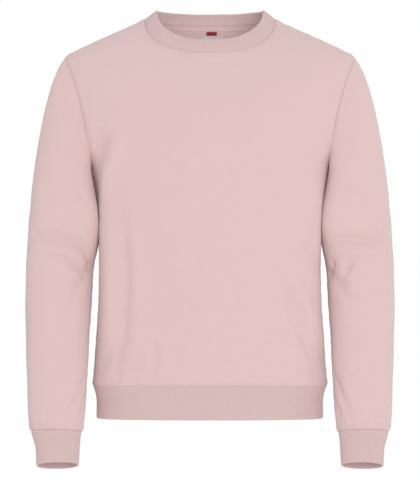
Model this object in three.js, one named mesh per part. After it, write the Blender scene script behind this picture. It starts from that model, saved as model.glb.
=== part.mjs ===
// A crewneck sweatshirt, hollow and filled out as it is worn, with the arms hanging.
// Millimetres. +X is the wearer's left, -Y the front, +Z up. The origin lies midway between
// the two shoulder seams, level with them just outside the neck.
import * as THREE from "three";

const { degToRad, lerp, clamp, smoothstep } = THREE.MathUtils;

// Cloth
const FLEECE = 2.0; // wall of the brushed sweatshirt knit
const RIB = 3.0; // wall of the doubled rib, between its grooves
const TAPE = 0.8; // neck tape
const LABEL = 0.6; // woven labels
const SEAM_GAP = 0.3; // between two pieces that are sewn together
const BAND_START = 0.3; // share of a band's height that gives its direction at the seam
const SLEEVE_CLEARANCE = { armpit: 1.2, below: 2.4 }; // from the hanging sleeve to the body

// Rib knit: how many raised ribs there are for each column of the wall behind, and their height
const RIBS_PER_COLUMN = { hem: 5, collar: 3, cuff: 2 };
const RIB_RELIEF = 0.7;

// How finely the walls are divided
const HALF_COLUMNS = 12; // centre to edge of the front or back
const SKIRT_ROWS = 9; // hem seam to armpit
const ARMHOLE_STEPS = 11; // armpit to shoulder tip, on the front and on the back
const YOKE_ROWS = 3; // shoulder tip to the row below the neck seam
const NECK_ROW = 12; // that row's distance from the neck seam
const CAP_ROWS = 6; // armhole to the first whole ring of the sleeve

// Columns of the tables for the body and its bands: side, front and back are the heights at
// the side, centre front and centre back, half is the half width, fore and aft are the depths,
// square is the roundness (2 is an ellipse), and dropFore and dropAft say how the height falls
// from the side to the centre front and to the centre back.
const BODY_COLUMNS = ["at", "side", "front", "back", "half", "fore", "aft", "square", "dropFore", "dropAft"];
const named = (columns, rows) => rows.map((row) => Object.fromEntries(columns.map((key, i) => [key, row[i]])));

// Sections of the body from the hem seam up to the neck seam.
const TORSO = named(BODY_COLUMNS, [
  ["hem seam", -625, -621, -621, 201.3, 99, 94, 2.5, 2, 2],
  ["high hip", -566, -566, -566, 197, 102, 93, 2.6, 2, 2],
  ["waist", -480, -480, -480, 191.5, 105, 89, 2.7, 2, 2],
  ["midriff", -400, -400, -400, 190.5, 109, 90, 2.85, 2, 2],
  ["ribs", -340, -340, -340, 193, 114, 95, 3, 2, 2],
  ["low chest", -290, -290, -290, 197.5, 118, 100, 2.8, 2, 2],
  ["armpit", -250, -252, -250, 206, 119, 104, 2.5, 2, 2],
  ["chest", -220, -226, -221, 218, 118.5, 106, 2.45, 2, 2],
  ["high chest", -185, -198, -189, 230, 115.5, 107, 2.5, 2, 2],
  ["across", -145, -169, -156, 239, 109.5, 106, 2.55, 2, 2],
  ["above", -100, -140, -122, 243.5, 101.5, 103, 2.6, 2, 2],
  ["shoulder tip", -58.2, -114, -87, 242.6, 91.5, 97, 2.65, 2, 2],
  ["beside tip", -52.2, -109, -80, 231, 89.5, 95, 2.7, 1.95, 1.95],
  ["mid shoulder", -32.7, -93, -54, 190, 83, 87.5, 2.75, 1.75, 1.75],
  ["near neck", -13.8, -76, -25.5, 148, 75, 79.5, 2.65, 1.35, 2],
  ["neck seam", 3.2, -58.5, -2, 112, 66, 72, 2.5, 0.87, 3],
]);

// Sections of the crew collar, from the neck seam to its folded top edge.
const COLLAR = named(BODY_COLUMNS, [
  ["neck seam", 3.2, -58.5, -2, 112, 66, 72, 2.5, 0.87, 3],
  ["middle", 9.8, -47.1, 7.3, 103, 62.5, 69.8, 2.45, 0.93, 3.5],
  ["top edge", 19.1, -35.2, 16.8, 91.8, 57, 66, 2.35, 1, 5],
]);

// Sections of the hem rib, from its seam down to its folded bottom edge.
const HEM = named(BODY_COLUMNS, [
  ["hem seam", -625, -621, -621, 201.3, 99, 94, 2.5, 2, 2],
  ["below seam", -640, -636, -636, 195.7, 95, 90, 2.45, 2, 2],
  ["bottom edge", -682.4, -681, -681, 194.6, 94, 89, 2.4, 2, 2],
]);

// The armhole's greatest reach round the body from the side, in degrees.
const ARMHOLE_REACH = { front: 27, back: 25 };
const ARMHOLE_ROUND = 1.25; // roundness of its top and bottom

// Sections of the sleeve below the cap, down to the cuff seam: the middle of each, its half
// width across, its half depth from front to back and its roundness, outside and next to the
// body.
const SLEEVE = [
  { x: 249.9, y: 3, z: -300, across: 57.6, deep: 68, square: 2.4, inner: 2.6 },
  { x: 248.3, y: 6, z: -340, across: 62.6, deep: 66, square: 2.5, inner: 3 },
  { x: 252.3, y: 7, z: -377, across: 61.1, deep: 64, square: 2.5, inner: 2.9 },
  { x: 257.1, y: 5, z: -411, across: 58.3, deep: 61.5, square: 2.45, inner: 2.7 },
  { x: 260, y: -4, z: -470, across: 57.2, deep: 58, square: 2.45, inner: 2.5 },
  { x: 260.7, y: -22, z: -550, across: 54, deep: 54, square: 2.4, inner: 2.4 },
  { x: 260.9, y: -41, z: -620, across: 50.8, deep: 50, square: 2.35, inner: 2.35 },
  { x: 260.6, y: -53, z: -665, across: 48.4, deep: 46, square: 2.3, inner: 2.3 },
  { x: 260.4, y: -58, z: -687, across: 46.4, deep: 42.5, square: 2.25, inner: 2.25 },
  { x: 260.5, y: -60.5, z: -701.5, across: 43, deep: 37.5, square: 2.15, inner: 2.15 },
];
// Where the sleeve's rings lie, as shares of that length, closest together at the elbow.
const SLEEVE_RINGS = [0.07, 0.13, 0.17, 0.2, 0.23, 0.27, 0.32, 0.42, 0.56, 0.7, 0.83, 0.93, 1];

const CUFF = [
  { x: 260.5, y: -60.5, z: -701.5, across: 43, deep: 37.5, square: 2.15, inner: 2.15 },
  { x: 258.7, y: -64, z: -717, across: 38.7, deep: 31, square: 2.1, inner: 2.1 },
  { x: 257.6, y: -76, z: -758.6, across: 35.3, deep: 29.5, square: 2.1, inner: 2.1 },
];

// The sleeve leaves the armhole in this direction at the shoulder tip, lifts outward halfway
// up and bulges forward and back there.
const CAP_SLOPE = new THREE.Vector3(0.78, 0, -0.63);
const CAP_LIFT = 0.32;
const CAP_BULGE = 0.3;
// How far it keeps to its direction at the armhole and at the first ring.
const CAP_PULL = { armpit: { leaving: 0.87, arriving: 0.79 }, tip: { leaving: 0.58, arriving: 0.35 } };
const CAP_END = 2; // length of tube that gives the cap its direction at the first ring

// Folds on the body, as soft troughs (deep below 0) and ridges between two points of the
// front view, [across, height].
const FRONT_FOLDS = [
  { from: [-157, -205], to: [-184, -318], wide: 15, deep: 4.5 }, // edge of the armpit's pull
  { from: [-196, -240], to: [-190, -330], wide: 13, deep: -3.5 },
  { from: [-146, -330], to: [-150, -560], wide: 14, deep: -5.5 },
  { from: [-172, -350], to: [-176, -540], wide: 12, deep: 4 },
  { from: [-150, -545], to: [-168, -612], wide: 13, deep: -4 },
  { from: [-92, -500], to: [-94, -612], wide: 12, deep: -3 },
  { from: [157, -215], to: [176, -330], wide: 15, deep: 3.5 },
  { from: [110, -430], to: [176, -585], wide: 14, deep: -4 },
  { from: [136, -425], to: [186, -540], wide: 12, deep: 3.5 },
  { from: [164, -350], to: [184, -430], wide: 12, deep: -3 },
];
const BACK_FOLDS = [
  { from: [-150, -215], to: [-176, -330], wide: 15, deep: 4 },
  { from: [-120, -400], to: [-172, -560], wide: 16, deep: -4.5 },
  { from: [-40, -470], to: [-64, -610], wide: 17, deep: -4 },
  { from: [48, -440], to: [66, -606], wide: 16, deep: -4.5 },
  { from: [132, -380], to: [174, -548], wide: 15, deep: -4 },
  { from: [150, -215], to: [178, -335], wide: 15, deep: 4.5 },
];
// Folds on a sleeve, between two points [degrees round from the underarm over the front,
// height], the same on both sides but for their size.
const SLEEVE_FOLDS = [
  { from: [40, -378], to: [138, -376], wide: 9, deep: -6 },
  { from: [62, -397], to: [128, -398], wide: 9, deep: 3 },
  { from: [76, -412], to: [34, -440], wide: 7, deep: -4.5 },
  { from: [14, -418], to: [30, -452], wide: 11, deep: -6 },
  { from: [24, -640], to: [62, -668], wide: 10, deep: -3 },
  { from: [-60, -360], to: [-20, -400], wide: 12, deep: -4 },
  { from: [-95, -560], to: [-40, -610], wide: 14, deep: -3 },
];
const SLEEVE_FOLD_SIZE = { left: 0.9, right: 1 };
const FOLD_ENDS = 0.45; // depth of a fold at its two ends, as a share of that at its middle
const FOLD_FADE = 0.12; // share of a panel over which folds die out at its sides
const FOLD_START = 40; // distance above the hem seam over which they begin
const FOLD_STOP = 0.92; // share of the sleeve's length from which its folds die out

// Neck tape and labels inside the back neck: distances down from the neck seam
const TAPE_EDGES = [1, 10.5];
const TAPE_END = 0.15; // share of its end column left bare at each shoulder seam
const TAB = { left: -6, width: 18, top: 11.3, height: 6.4, rows: 1 };
const SIZE_LABEL = { left: -16, width: 41, top: 18.2, height: 30, rows: 3 };
const LABEL_COLUMNS = 6;
const LABEL_LIFT = 0.5; // from the back's inner side

const PINK = { color: 0xe3c5c3, roughness: 0.95 };
const RIB_PINK = { color: 0xdbbbb9, roughness: 0.95 };
const TAPE_PINK = { color: 0xd9b9b7, roughness: 0.9 };
const RED = { color: 0x9c2c36, roughness: 0.8 };
const PALE_GREY = { color: 0xd9d5d2, roughness: 0.8 };

// A smooth value of one column of a table at distance s along it.
function columnAt(table, knots, key, s) {
  const last = table.length - 1;
  let i = 0;
  while (i < last - 1 && s > knots[i + 1]) i++;
  const slope = (a) => (table[a + 1][key] - table[a][key]) / (knots[a + 1] - knots[a]);
  const tangent = (a) => {
    if (a === 0) return slope(0);
    if (a === last) return slope(last - 1);
    const before = knots[a] - knots[a - 1];
    const after = knots[a + 1] - knots[a];
    return (slope(a - 1) * after + slope(a) * before) / (before + after);
  };
  const span = knots[i + 1] - knots[i];
  const t = (s - knots[i]) / span;
  const t2 = t * t;
  const t3 = t2 * t;
  return (
    (2 * t3 - 3 * t2 + 1) * table[i][key] +
    (t3 - 2 * t2 + t) * span * tangent(i) +
    (3 * t2 - 2 * t3) * table[i + 1][key] +
    (t3 - t2) * span * tangent(i + 1)
  );
}

// A table of sections with the distances between them, read as a smooth loft.
class Loft {
  constructor(table, stepOf) {
    this.table = table;
    this.knots = [0];
    for (let i = 1; i < table.length; i++) {
      this.knots.push(this.knots[i - 1] + stepOf(table[i - 1], table[i]));
    }
    this.length = this.knots[table.length - 1];
  }

  at(s) {
    const row = {};
    for (const key of Object.keys(this.table[0])) {
      if (key !== "at") row[key] = columnAt(this.table, this.knots, key, s);
    }
    return row;
  }

  distanceOf(name) {
    return this.knots[this.table.findIndex((row) => row.at === name)];
  }
}

// Body-like sections: theta is 0 at centre front, 90 degrees at the side, 180 at centre back.
class BodyLoft extends Loft {
  constructor(table) {
    super(table, (a, b) => {
      const side = Math.hypot(b.half - a.half, b.side - a.side);
      const centre = Math.hypot(b.fore - a.fore, b.front - a.front);
      return (side + centre) / 2;
    });
  }

  point(s, theta) {
    const row = this.at(s);
    const power = 2 / row.square;
    const facing = Math.cos(theta);
    const across = Math.sin(theta);
    const reach = Math.abs(facing) ** power;
    const centre = facing > 0 ? row.front : row.back;
    const drop = facing > 0 ? row.dropFore : row.dropAft;
    return new THREE.Vector3(
      row.half * Math.sign(across) * Math.abs(across) ** power,
      facing > 0 ? -row.fore * reach : row.aft * reach,
      row.side + (centre - row.side) * Math.abs(facing) ** drop,
    );
  }

  // The normal, and the direction in which theta grows.
  frame(s, theta) {
    const turn = 0.01;
    const step = 0.5;
    const low = Math.max(0, s - step);
    const high = Math.min(this.length, s + step);
    const round = this.point(s, theta + turn).sub(this.point(s, theta - turn)).normalize();
    const up = this.point(high, theta).sub(this.point(low, theta)).normalize();
    const normal = new THREE.Vector3().crossVectors(round, up).normalize();
    return { normal, round };
  }
}

// Limb-like sections on a curved middle line: alpha is 0 at the underarm, 90 degrees at the
// front, 180 outside and 270 at the back.
class LimbLoft extends Loft {
  constructor(table) {
    super(table, (a, b) => Math.hypot(b.x - a.x, b.y - a.y, b.z - a.z));
  }

  centre(s) {
    const row = this.at(s);
    return new THREE.Vector3(row.x, row.y, row.z);
  }

  direction(s) {
    const step = 1;
    const low = Math.max(0, s - step);
    const high = Math.min(this.length, s + step);
    return this.centre(high).sub(this.centre(low)).normalize();
  }

  point(s, alpha) {
    const row = this.at(s);
    const along = this.direction(s);
    const back = new THREE.Vector3(0, 1, 0).addScaledVector(along, -along.y).normalize();
    const outward = new THREE.Vector3().crossVectors(along, back).normalize();
    if (outward.x < 0) outward.negate();
    const inward = Math.cos(alpha);
    const power = 2 / (inward > 0 ? row.inner : row.square);
    const fuller = (value) => Math.sign(value) * Math.abs(value) ** power;
    return this.centre(s)
      .addScaledVector(outward, -row.across * fuller(inward))
      .addScaledVector(back, -row.deep * fuller(Math.sin(alpha)));
  }

  normalAt(s, alpha) {
    const turn = 0.01;
    const round = this.point(s, alpha + turn).sub(this.point(s, alpha - turn)).normalize();
    return new THREE.Vector3().crossVectors(this.direction(s), round).normalize();
  }
}

const torso = new BodyLoft(TORSO);
const collar = new BodyLoft(COLLAR);
const hem = new BodyLoft(HEM);
const tube = new LimbLoft(SLEEVE);
const cuff = new LimbLoft(CUFF);
const ARMPIT = torso.distanceOf("armpit");
const TIP = torso.distanceOf("shoulder tip");
const SIDE = Math.PI / 2;

// The values of t from a to b that cut the curve into equal lengths.
function evenSteps(curve, a, b, steps) {
  const fine = 240;
  const lengths = [0];
  let previous = curve(a);
  for (let i = 1; i <= fine; i++) {
    const next = curve(lerp(a, b, i / fine));
    lengths.push(lengths[i - 1] + next.distanceTo(previous));
    previous = next;
  }
  const values = [];
  let i = 0;
  for (let k = 0; k <= steps; k++) {
    const wanted = (lengths[fine] * k) / steps;
    while (i < fine - 1 && lengths[i + 1] < wanted) i++;
    const part = (wanted - lengths[i]) / (lengths[i + 1] - lengths[i] || 1);
    values.push(lerp(a, b, (i + clamp(part, 0, 1)) / fine));
  }
  return values;
}

// The armhole's edge on the front or the back: psi runs from 0 at the armpit to PI at the tip.
function armholeSite(half, psi) {
  const s = lerp(ARMPIT, TIP, (1 - Math.cos(psi)) / 2);
  const reach = degToRad(ARMHOLE_REACH[half]) * Math.sin(psi) ** ARMHOLE_ROUND;
  return { s, theta: half === "front" ? SIDE - reach : SIDE + reach };
}

function armholePoint(half, psi) {
  const site = armholeSite(half, clamp(psi, 0, Math.PI));
  return torso.point(site.s, site.theta);
}

// The armhole as one closed loop of seam places: up the front from the armpit, over the
// shoulder tip and down the back.
function armholeSeam() {
  const sites = [];
  for (const half of ["front", "back"]) {
    const steps = evenSteps((psi) => armholePoint(half, psi), 0, Math.PI, ARMHOLE_STEPS);
    const ordered = half === "front" ? steps.slice(0, -1) : steps.reverse().slice(0, -1);
    sites.push(...ordered.map((psi) => armholeSite(half, psi)));
  }
  const points = sites.map((site) => torso.point(site.s, site.theta));
  const armpit = points[0].z;
  const rise = points[ARMHOLE_STEPS].z - armpit;
  return sites.map((site, j) => {
    const point = points[j];
    const next = points[(j + 1) % points.length];
    const before = points[(j + points.length - 1) % points.length];
    const along = next.clone().sub(before).normalize();
    const alpha = (j / points.length) * 2 * Math.PI;
    const ring = tube.point(0, alpha);
    const height = (point.z - armpit) / rise;
    const leaving = leavingDirection(ring.clone().sub(point).normalize(), height, alpha);
    const sleeveNormal = new THREE.Vector3().crossVectors(leaving, along).normalize();
    const normal = torso.frame(site.s, site.theta).normal.add(sleeveNormal).normalize();
    normal.addScaledVector(along, -normal.dot(along)).normalize();
    const outward = new THREE.Vector3().crossVectors(along, normal).normalize();
    const arriving = tube.point(CAP_END, alpha).sub(ring).normalize();
    const high = smoothstep(height, 0.5, 1);
    const pull = {
      leaving: lerp(CAP_PULL.armpit.leaving, CAP_PULL.tip.leaving, high),
      arriving: lerp(CAP_PULL.armpit.arriving, CAP_PULL.tip.arriving, high),
    };
    return { ...site, point, normal, outward, leaving, ring, arriving, pull, alpha };
  });
}

// The sleeve's direction as it leaves the armhole: down its own line at the armpit, turning
// out to the cap's slope at the shoulder tip.
function leavingDirection(chord, height, alpha) {
  const share = smoothstep(height, 0, 1);
  const way = chord.clone().lerp(CAP_SLOPE, share);
  way.x += CAP_LIFT * Math.sin(Math.PI * height);
  way.y -= CAP_BULGE * Math.sin(Math.PI * height) * Math.sign(Math.sin(alpha));
  return way.normalize();
}

// How far a fold table moves a place out along the wall's normal.
function foldHeight(folds, across, height) {
  let moved = 0;
  for (const fold of folds) {
    const dx = fold.to[0] - fold.from[0];
    const dz = fold.to[1] - fold.from[1];
    const lengthSquared = dx * dx + dz * dz;
    const t = ((across - fold.from[0]) * dx + (height - fold.from[1]) * dz) / lengthSquared;
    const near = clamp(t, 0, 1);
    const away = Math.hypot(across - fold.from[0] - near * dx, height - fold.from[1] - near * dz);
    const taper = lerp(FOLD_ENDS, 1, Math.sin(Math.PI * near));
    moved += fold.deep * taper * Math.exp(-((away / fold.wide) ** 2));
  }
  return moved;
}

function foldsOnPanel(half, point, share, s) {
  const folds = half === "front" ? FRONT_FOLDS : BACK_FOLDS;
  const edge = 1 - smoothstep(Math.abs(share), 1 - FOLD_FADE, 1);
  const bottom = smoothstep(s, 0, FOLD_START);
  return foldHeight(folds, point.x, point.z) * edge * bottom;
}

function foldsOnSleeve(side, point, alpha, s) {
  const radians = alpha > Math.PI ? alpha - 2 * Math.PI : alpha;
  const perDegree = degToRad(1) * SLEEVE[2].deep; // so that folds are as wide both ways
  const table = SLEEVE_FOLDS.map((fold) => ({
    ...fold,
    from: [fold.from[0] * perDegree, fold.from[1]],
    to: [fold.to[0] * perDegree, fold.to[1]],
  }));
  const cuffEnd = 1 - smoothstep(s, tube.length * FOLD_STOP, tube.length);
  const across = radians * SLEEVE[2].deep;
  return foldHeight(table, across, point.z) * SLEEVE_FOLD_SIZE[side] * cuffEnd;
}

// Whether the shorter diagonal of a grid's cell runs from [i][j] to [i + 1][j + 1].
function splitsForward(grid, i, j) {
  const next = (j + 1) % grid[i].length;
  const forward = grid[i][j].distanceTo(grid[i + 1][next]);
  return forward <= grid[i + 1][j].distanceTo(grid[i][next]);
}

// A closed wall between two grids of points of the same shape, [row][column]. round says
// that the columns close into a tube.
function wallGeometry(outer, inner, round) {
  const rows = outer.length;
  const columns = outer[0].length;
  const positions = [];
  for (const grid of [outer, inner]) {
    for (const row of grid) {
      for (const p of row) positions.push(p.x, p.y, p.z);
    }
  }
  const id = (layer, i, j) => layer * rows * columns + i * columns + (j % columns);
  const faces = [];
  const quad = (a, b, c, d) => faces.push(a, b, c, a, c, d);
  const steps = round ? columns : columns - 1;
  for (let i = 0; i < rows - 1; i++) {
    for (let j = 0; j < steps; j++) {
      if (splitsForward(outer, i, j)) {
        quad(id(0, i, j), id(0, i, j + 1), id(0, i + 1, j + 1), id(0, i + 1, j));
        quad(id(1, i, j), id(1, i + 1, j), id(1, i + 1, j + 1), id(1, i, j + 1));
      } else {
        quad(id(0, i, j + 1), id(0, i + 1, j + 1), id(0, i + 1, j), id(0, i, j));
        quad(id(1, i, j + 1), id(1, i, j), id(1, i + 1, j), id(1, i + 1, j + 1));
      }
    }
  }
  for (let j = 0; j < steps; j++) {
    quad(id(0, 0, j), id(1, 0, j), id(1, 0, j + 1), id(0, 0, j + 1));
    quad(id(0, rows - 1, j), id(0, rows - 1, j + 1), id(1, rows - 1, j + 1), id(1, rows - 1, j));
  }
  if (!round) {
    const end = columns - 1;
    for (let i = 0; i < rows - 1; i++) {
      quad(id(0, i, 0), id(0, i + 1, 0), id(1, i + 1, 0), id(1, i, 0));
      quad(id(0, i, end), id(1, i, end), id(1, i + 1, end), id(0, i + 1, end));
    }
  }
  return closedGeometry(positions, faces);
}

// A closed ribbed band: the outer rings hold a whole number of points for each inner one.
function bandGeometry(outer, inner) {
  const rows = outer.length;
  const many = outer[0].length;
  const few = inner[0].length;
  const positions = [];
  for (const grid of [outer, inner]) {
    for (const row of grid) {
      for (const p of row) positions.push(p.x, p.y, p.z);
    }
  }
  const out = (i, j) => i * many + (j % many);
  const inn = (i, j) => rows * many + i * few + (j % few);
  const faces = [];
  for (let i = 0; i < rows - 1; i++) {
    for (let j = 0; j < many; j++) {
      faces.push(out(i, j), out(i, j + 1), out(i + 1, j + 1), out(i, j), out(i + 1, j + 1), out(i + 1, j));
    }
    for (let j = 0; j < few; j++) {
      faces.push(inn(i, j), inn(i + 1, j), inn(i + 1, j + 1), inn(i, j), inn(i + 1, j + 1), inn(i, j + 1));
    }
  }
  const ratio = many / few;
  for (const [i, turned] of [[0, false], [rows - 1, true]]) {
    const add = (a, b, c) => faces.push(...(turned ? [a, b, c] : [a, c, b]));
    for (let k = 0; k < few; k++) {
      for (let m = 0; m < ratio; m++) {
        const j = k * ratio + m;
        add(out(i, j), out(i, j + 1), inn(i, m < ratio / 2 ? k : k + 1));
        if (m === Math.floor(ratio / 2) - 1) add(out(i, j + 1), inn(i, k + 1), inn(i, k));
      }
    }
  }
  return closedGeometry(positions, faces);
}

// The faces turned to point out of the solid, whichever way round the rows ran.
function closedGeometry(positions, faces) {
  let volume = 0;
  const at = (i) => new THREE.Vector3().fromArray(positions, 3 * i);
  for (let i = 0; i < faces.length; i += 3) {
    volume += at(faces[i]).dot(at(faces[i + 1]).cross(at(faces[i + 2])));
  }
  if (volume < 0) {
    for (let i = 0; i < faces.length; i += 3) {
      [faces[i + 1], faces[i + 2]] = [faces[i + 2], faces[i + 1]];
    }
  }
  const geometry = new THREE.BufferGeometry();
  geometry.setAttribute("position", new THREE.Float32BufferAttribute(positions, 3));
  geometry.setIndex(faces);
  geometry.computeVertexNormals();
  return geometry;
}

function piece(name, geometry, finish) {
  const mesh = new THREE.Mesh(geometry, new THREE.MeshStandardMaterial({ ...finish, metalness: 0 }));
  mesh.name = name;
  return mesh;
}

const seam = armholeSeam();

// The angles that cut a section of a loft into columns of equal length, from centre front
// right round, with a column edge at each side and at centre back.
function columnAngles(loft, s, perQuarter) {
  const curve = (theta) => loft.point(s, theta);
  const front = evenSteps(curve, 0, SIDE, perQuarter);
  const back = evenSteps(curve, Math.PI, SIDE, perQuarter);
  const half = [...front, ...back.slice(0, -1).reverse()];
  return [...half, ...half.slice(1, -1).reverse().map((theta) => 2 * Math.PI - theta)];
}

// Where a band is sewn to the body: the shared edge, the normal halfway between the two
// walls, and the direction from the body into the band.
function bandSeam(theta, s, band) {
  const body = torso.frame(s, theta);
  const into = band.point(band.length * BAND_START, theta).sub(band.point(0, theta)).normalize();
  const normal = new THREE.Vector3().crossVectors(body.round, into).normalize();
  if (normal.dot(body.normal) < 0) normal.negate();
  normal.add(body.normal).normalize();
  normal.addScaledVector(body.round, -normal.dot(body.round)).normalize();
  const square = new THREE.Vector3().crossVectors(normal, body.round).normalize();
  if (square.dot(into) < 0) square.negate();
  return { point: torso.point(s, theta), normal, into: square };
}

// The rows of the front or back: where each lies at the centre, and the armhole place that
// ends it. A row bends from its place at the centre to the armhole place.
function panelRows(half) {
  const rows = [];
  for (let i = 0; i < SKIRT_ROWS; i++) rows.push({ s: (ARMPIT * i) / SKIRT_ROWS, edge: SIDE });
  for (let j = 0; j <= ARMHOLE_STEPS; j++) {
    const place = half === "front" ? seam[j] : seam[(seam.length - j) % seam.length];
    rows.push({ s: lerp(ARMPIT, TIP, j / ARMHOLE_STEPS), edge: place.theta, place });
  }
  for (let i = 1; i <= YOKE_ROWS; i++) {
    rows.push({ s: lerp(TIP, torso.length - NECK_ROW, i / YOKE_ROWS), edge: SIDE });
  }
  rows.push({ s: torso.length, edge: SIDE, band: collar });
  rows[0].band = hem;
  return rows;
}

// The front or back: its rows run from one side to the other through the centre.
function panelGrids(half) {
  const outer = [];
  const inner = [];
  const middle = half === "front" ? 0 : Math.PI;
  for (const row of panelRows(half)) {
    const endS = row.place ? row.place.s : row.s;
    const along = (theta) => lerp(row.s, endS, ((theta - middle) / (row.edge - middle)) ** 2);
    const curve = (theta) => torso.point(along(theta), theta);
    const angles = evenSteps(curve, middle, row.edge, HALF_COLUMNS);
    const outerRow = [];
    const innerRow = [];
    for (let j = -HALF_COLUMNS; j <= HALF_COLUMNS; j++) {
      const theta = angles[Math.abs(j)];
      const s = along(theta);
      const { normal } = torso.frame(s, theta);
      const point = torso.point(s, theta);
      if (row.band) {
        const edge = bandSeam(theta, s, row.band);
        normal.copy(edge.normal);
        point.addScaledVector(edge.into, -SEAM_GAP / 2);
      }
      if (Math.abs(j) === HALF_COLUMNS && row.place) {
        normal.copy(row.place.normal);
        point.addScaledVector(row.place.outward, -SEAM_GAP / 2);
      }
      if (j < 0) {
        point.x = -point.x;
        normal.x = -normal.x;
      }
      if (!row.band) point.addScaledVector(normal, foldsOnPanel(half, point, j / HALF_COLUMNS, s));
      outerRow.push(point);
      innerRow.push(point.clone().addScaledVector(normal, -FLEECE));
    }
    if (row.edge === SIDE) drawInSides(outerRow, innerRow);
    outer.push(outerRow);
    inner.push(innerRow);
  }
  return { outer, inner };
}

// Half a seam gap at each end of a row, taken along the row itself.
function drawInSides(outerRow, innerRow) {
  const last = outerRow.length - 1;
  for (const [end, next] of [[0, 1], [last, last - 1]]) {
    const way = outerRow[next].clone().sub(outerRow[end]).normalize();
    const moved = way.multiplyScalar(SEAM_GAP / 2 / Math.abs(way.y));
    outerRow[end].add(moved);
    innerRow[end].add(moved);
  }
}

// How far out the body's side lies at the depth and height of a point beside it.
function bodySideAt(point) {
  const tries = 12;
  let s = ARMPIT;
  for (let k = 0; k < tries; k++) {
    s = clamp(s + (point.z - torso.at(s).side), 0, ARMPIT);
  }
  const row = torso.at(s);
  const depth = point.y < 0 ? row.fore : row.aft;
  const inside = Math.max(0, 1 - (Math.abs(point.y) / depth) ** row.square);
  return row.half * inside ** (1 / row.square);
}

// One ring of the sleeve at a share of the cap (0 to 1) or beyond it along the tube.
function capPoint(place, share) {
  const start = place.point.clone().addScaledVector(place.outward, SEAM_GAP / 2);
  const chord = place.ring.distanceTo(start);
  const t2 = share * share;
  const t3 = t2 * share;
  return start
    .clone()
    .multiplyScalar(2 * t3 - 3 * t2 + 1)
    .addScaledVector(place.leaving, (t3 - 2 * t2 + share) * chord * place.pull.leaving)
    .addScaledVector(place.ring, 3 * t2 - 2 * t3)
    .addScaledVector(place.arriving, (t3 - t2) * chord * place.pull.arriving);
}

function cuffSeam(alpha) {
  const normal = cuff.normalAt(0, alpha).add(tube.normalAt(tube.length, alpha)).normalize();
  return { point: tube.point(tube.length, alpha), normal, into: tube.direction(tube.length) };
}

function sleeve(side) {
  const rings = [];
  for (let i = 0; i <= CAP_ROWS; i++) {
    rings.push(seam.map((place) => ({ point: capPoint(place, i / CAP_ROWS), alpha: place.alpha, s: 0 })));
  }
  for (const share of SLEEVE_RINGS) {
    const s = share * tube.length;
    rings.push(seam.map(({ alpha }) => ({ point: tube.point(s, alpha), alpha, s })));
  }
  const count = seam.length;
  const outer = [];
  const inner = [];
  rings.forEach((ring, i) => {
    const outerRow = [];
    const innerRow = [];
    ring.forEach((place, j) => {
      const normal = new THREE.Vector3();
      if (i === 0) {
        normal.copy(seam[j].normal);
      } else if (i === rings.length - 1) {
        normal.copy(cuffSeam(place.alpha).normal);
      } else {
        const round = ring[(j + 1) % count].point.clone().sub(ring[(j + count - 1) % count].point);
        const down = rings[i + 1][j].point.clone().sub(rings[i - 1][j].point);
        normal.crossVectors(down, round);
      }
      normal.normalize();
      const point = place.point.clone();
      if (i > 0) point.addScaledVector(normal, foldsOnSleeve(side, point, place.alpha, place.s));
      if (i > 0) {
        const clearance = i > 1 ? SLEEVE_CLEARANCE.below : SLEEVE_CLEARANCE.armpit;
        point.x = Math.max(point.x, bodySideAt(point) + clearance);
      }
      if (i === rings.length - 1) point.addScaledVector(cuffSeam(place.alpha).into, -SEAM_GAP / 2);
      outerRow.push(point);
      innerRow.push(point.clone().addScaledVector(normal, -FLEECE));
    });
    outer.push(outerRow);
    inner.push(innerRow);
  });
  if (side === "right") mirror([...outer, ...inner]);
  return wallGeometry(outer, inner, true);
}

function mirror(rows) {
  for (const row of rows) {
    for (const point of row) point.x = -point.x;
  }
}

// A ribbed band. edge holds the places it is sewn to, one for each column; sections are its
// other rows, and placeAt gives their point and normal at a share of the way round.
function ribbedBand(edge, sections, ribsPerColumn, placeAt) {
  const perColumn = 2 * ribsPerColumn;
  const many = edge.length * perColumn;
  const outer = [];
  const inner = [];
  for (const s of [0, ...sections]) {
    const outerRow = [];
    const innerRow = [];
    for (let j = 0; j < many; j++) {
      const place = s === 0 ? sewnPlace(edge, j / perColumn) : placeAt(s, j, many);
      const sunk = j % 2 === 0 ? 0 : RIB_RELIEF;
      outerRow.push(place.point.clone().addScaledVector(place.normal, -sunk));
      if (j % perColumn === 0) innerRow.push(place.point.clone().addScaledVector(place.normal, -RIB));
    }
    outer.push(outerRow);
    inner.push(innerRow);
  }
  return { outer, inner };
}

// The place on a sewn edge, straight from one column edge to the next like the piece beside it.
function sewnPlace(edge, at) {
  const j = Math.floor(at);
  const a = edge[j];
  const b = edge[(j + 1) % edge.length];
  const part = at - j;
  return {
    point: a.point.clone().lerp(b.point, part).addScaledVector(a.into, SEAM_GAP / 2),
    normal: a.normal.clone().lerp(b.normal, part).normalize(),
  };
}

function bodyBand(band, s, ribsPerColumn) {
  const edge = columnAngles(torso, s, HALF_COLUMNS).map((theta) => bandSeam(theta, s, band));
  const sections = [band.knots[1], band.length];
  const angles = new Map();
  for (const section of sections) {
    angles.set(section, columnAngles(band, section, HALF_COLUMNS * 2 * ribsPerColumn));
  }
  const { outer, inner } = ribbedBand(edge, sections, ribsPerColumn, (section, j) => {
    const theta = angles.get(section)[j];
    const { normal } = band.frame(section, theta);
    return { point: band.point(section, theta), normal: band === hem ? normal.negate() : normal };
  });
  return bandGeometry(outer, inner);
}

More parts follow.
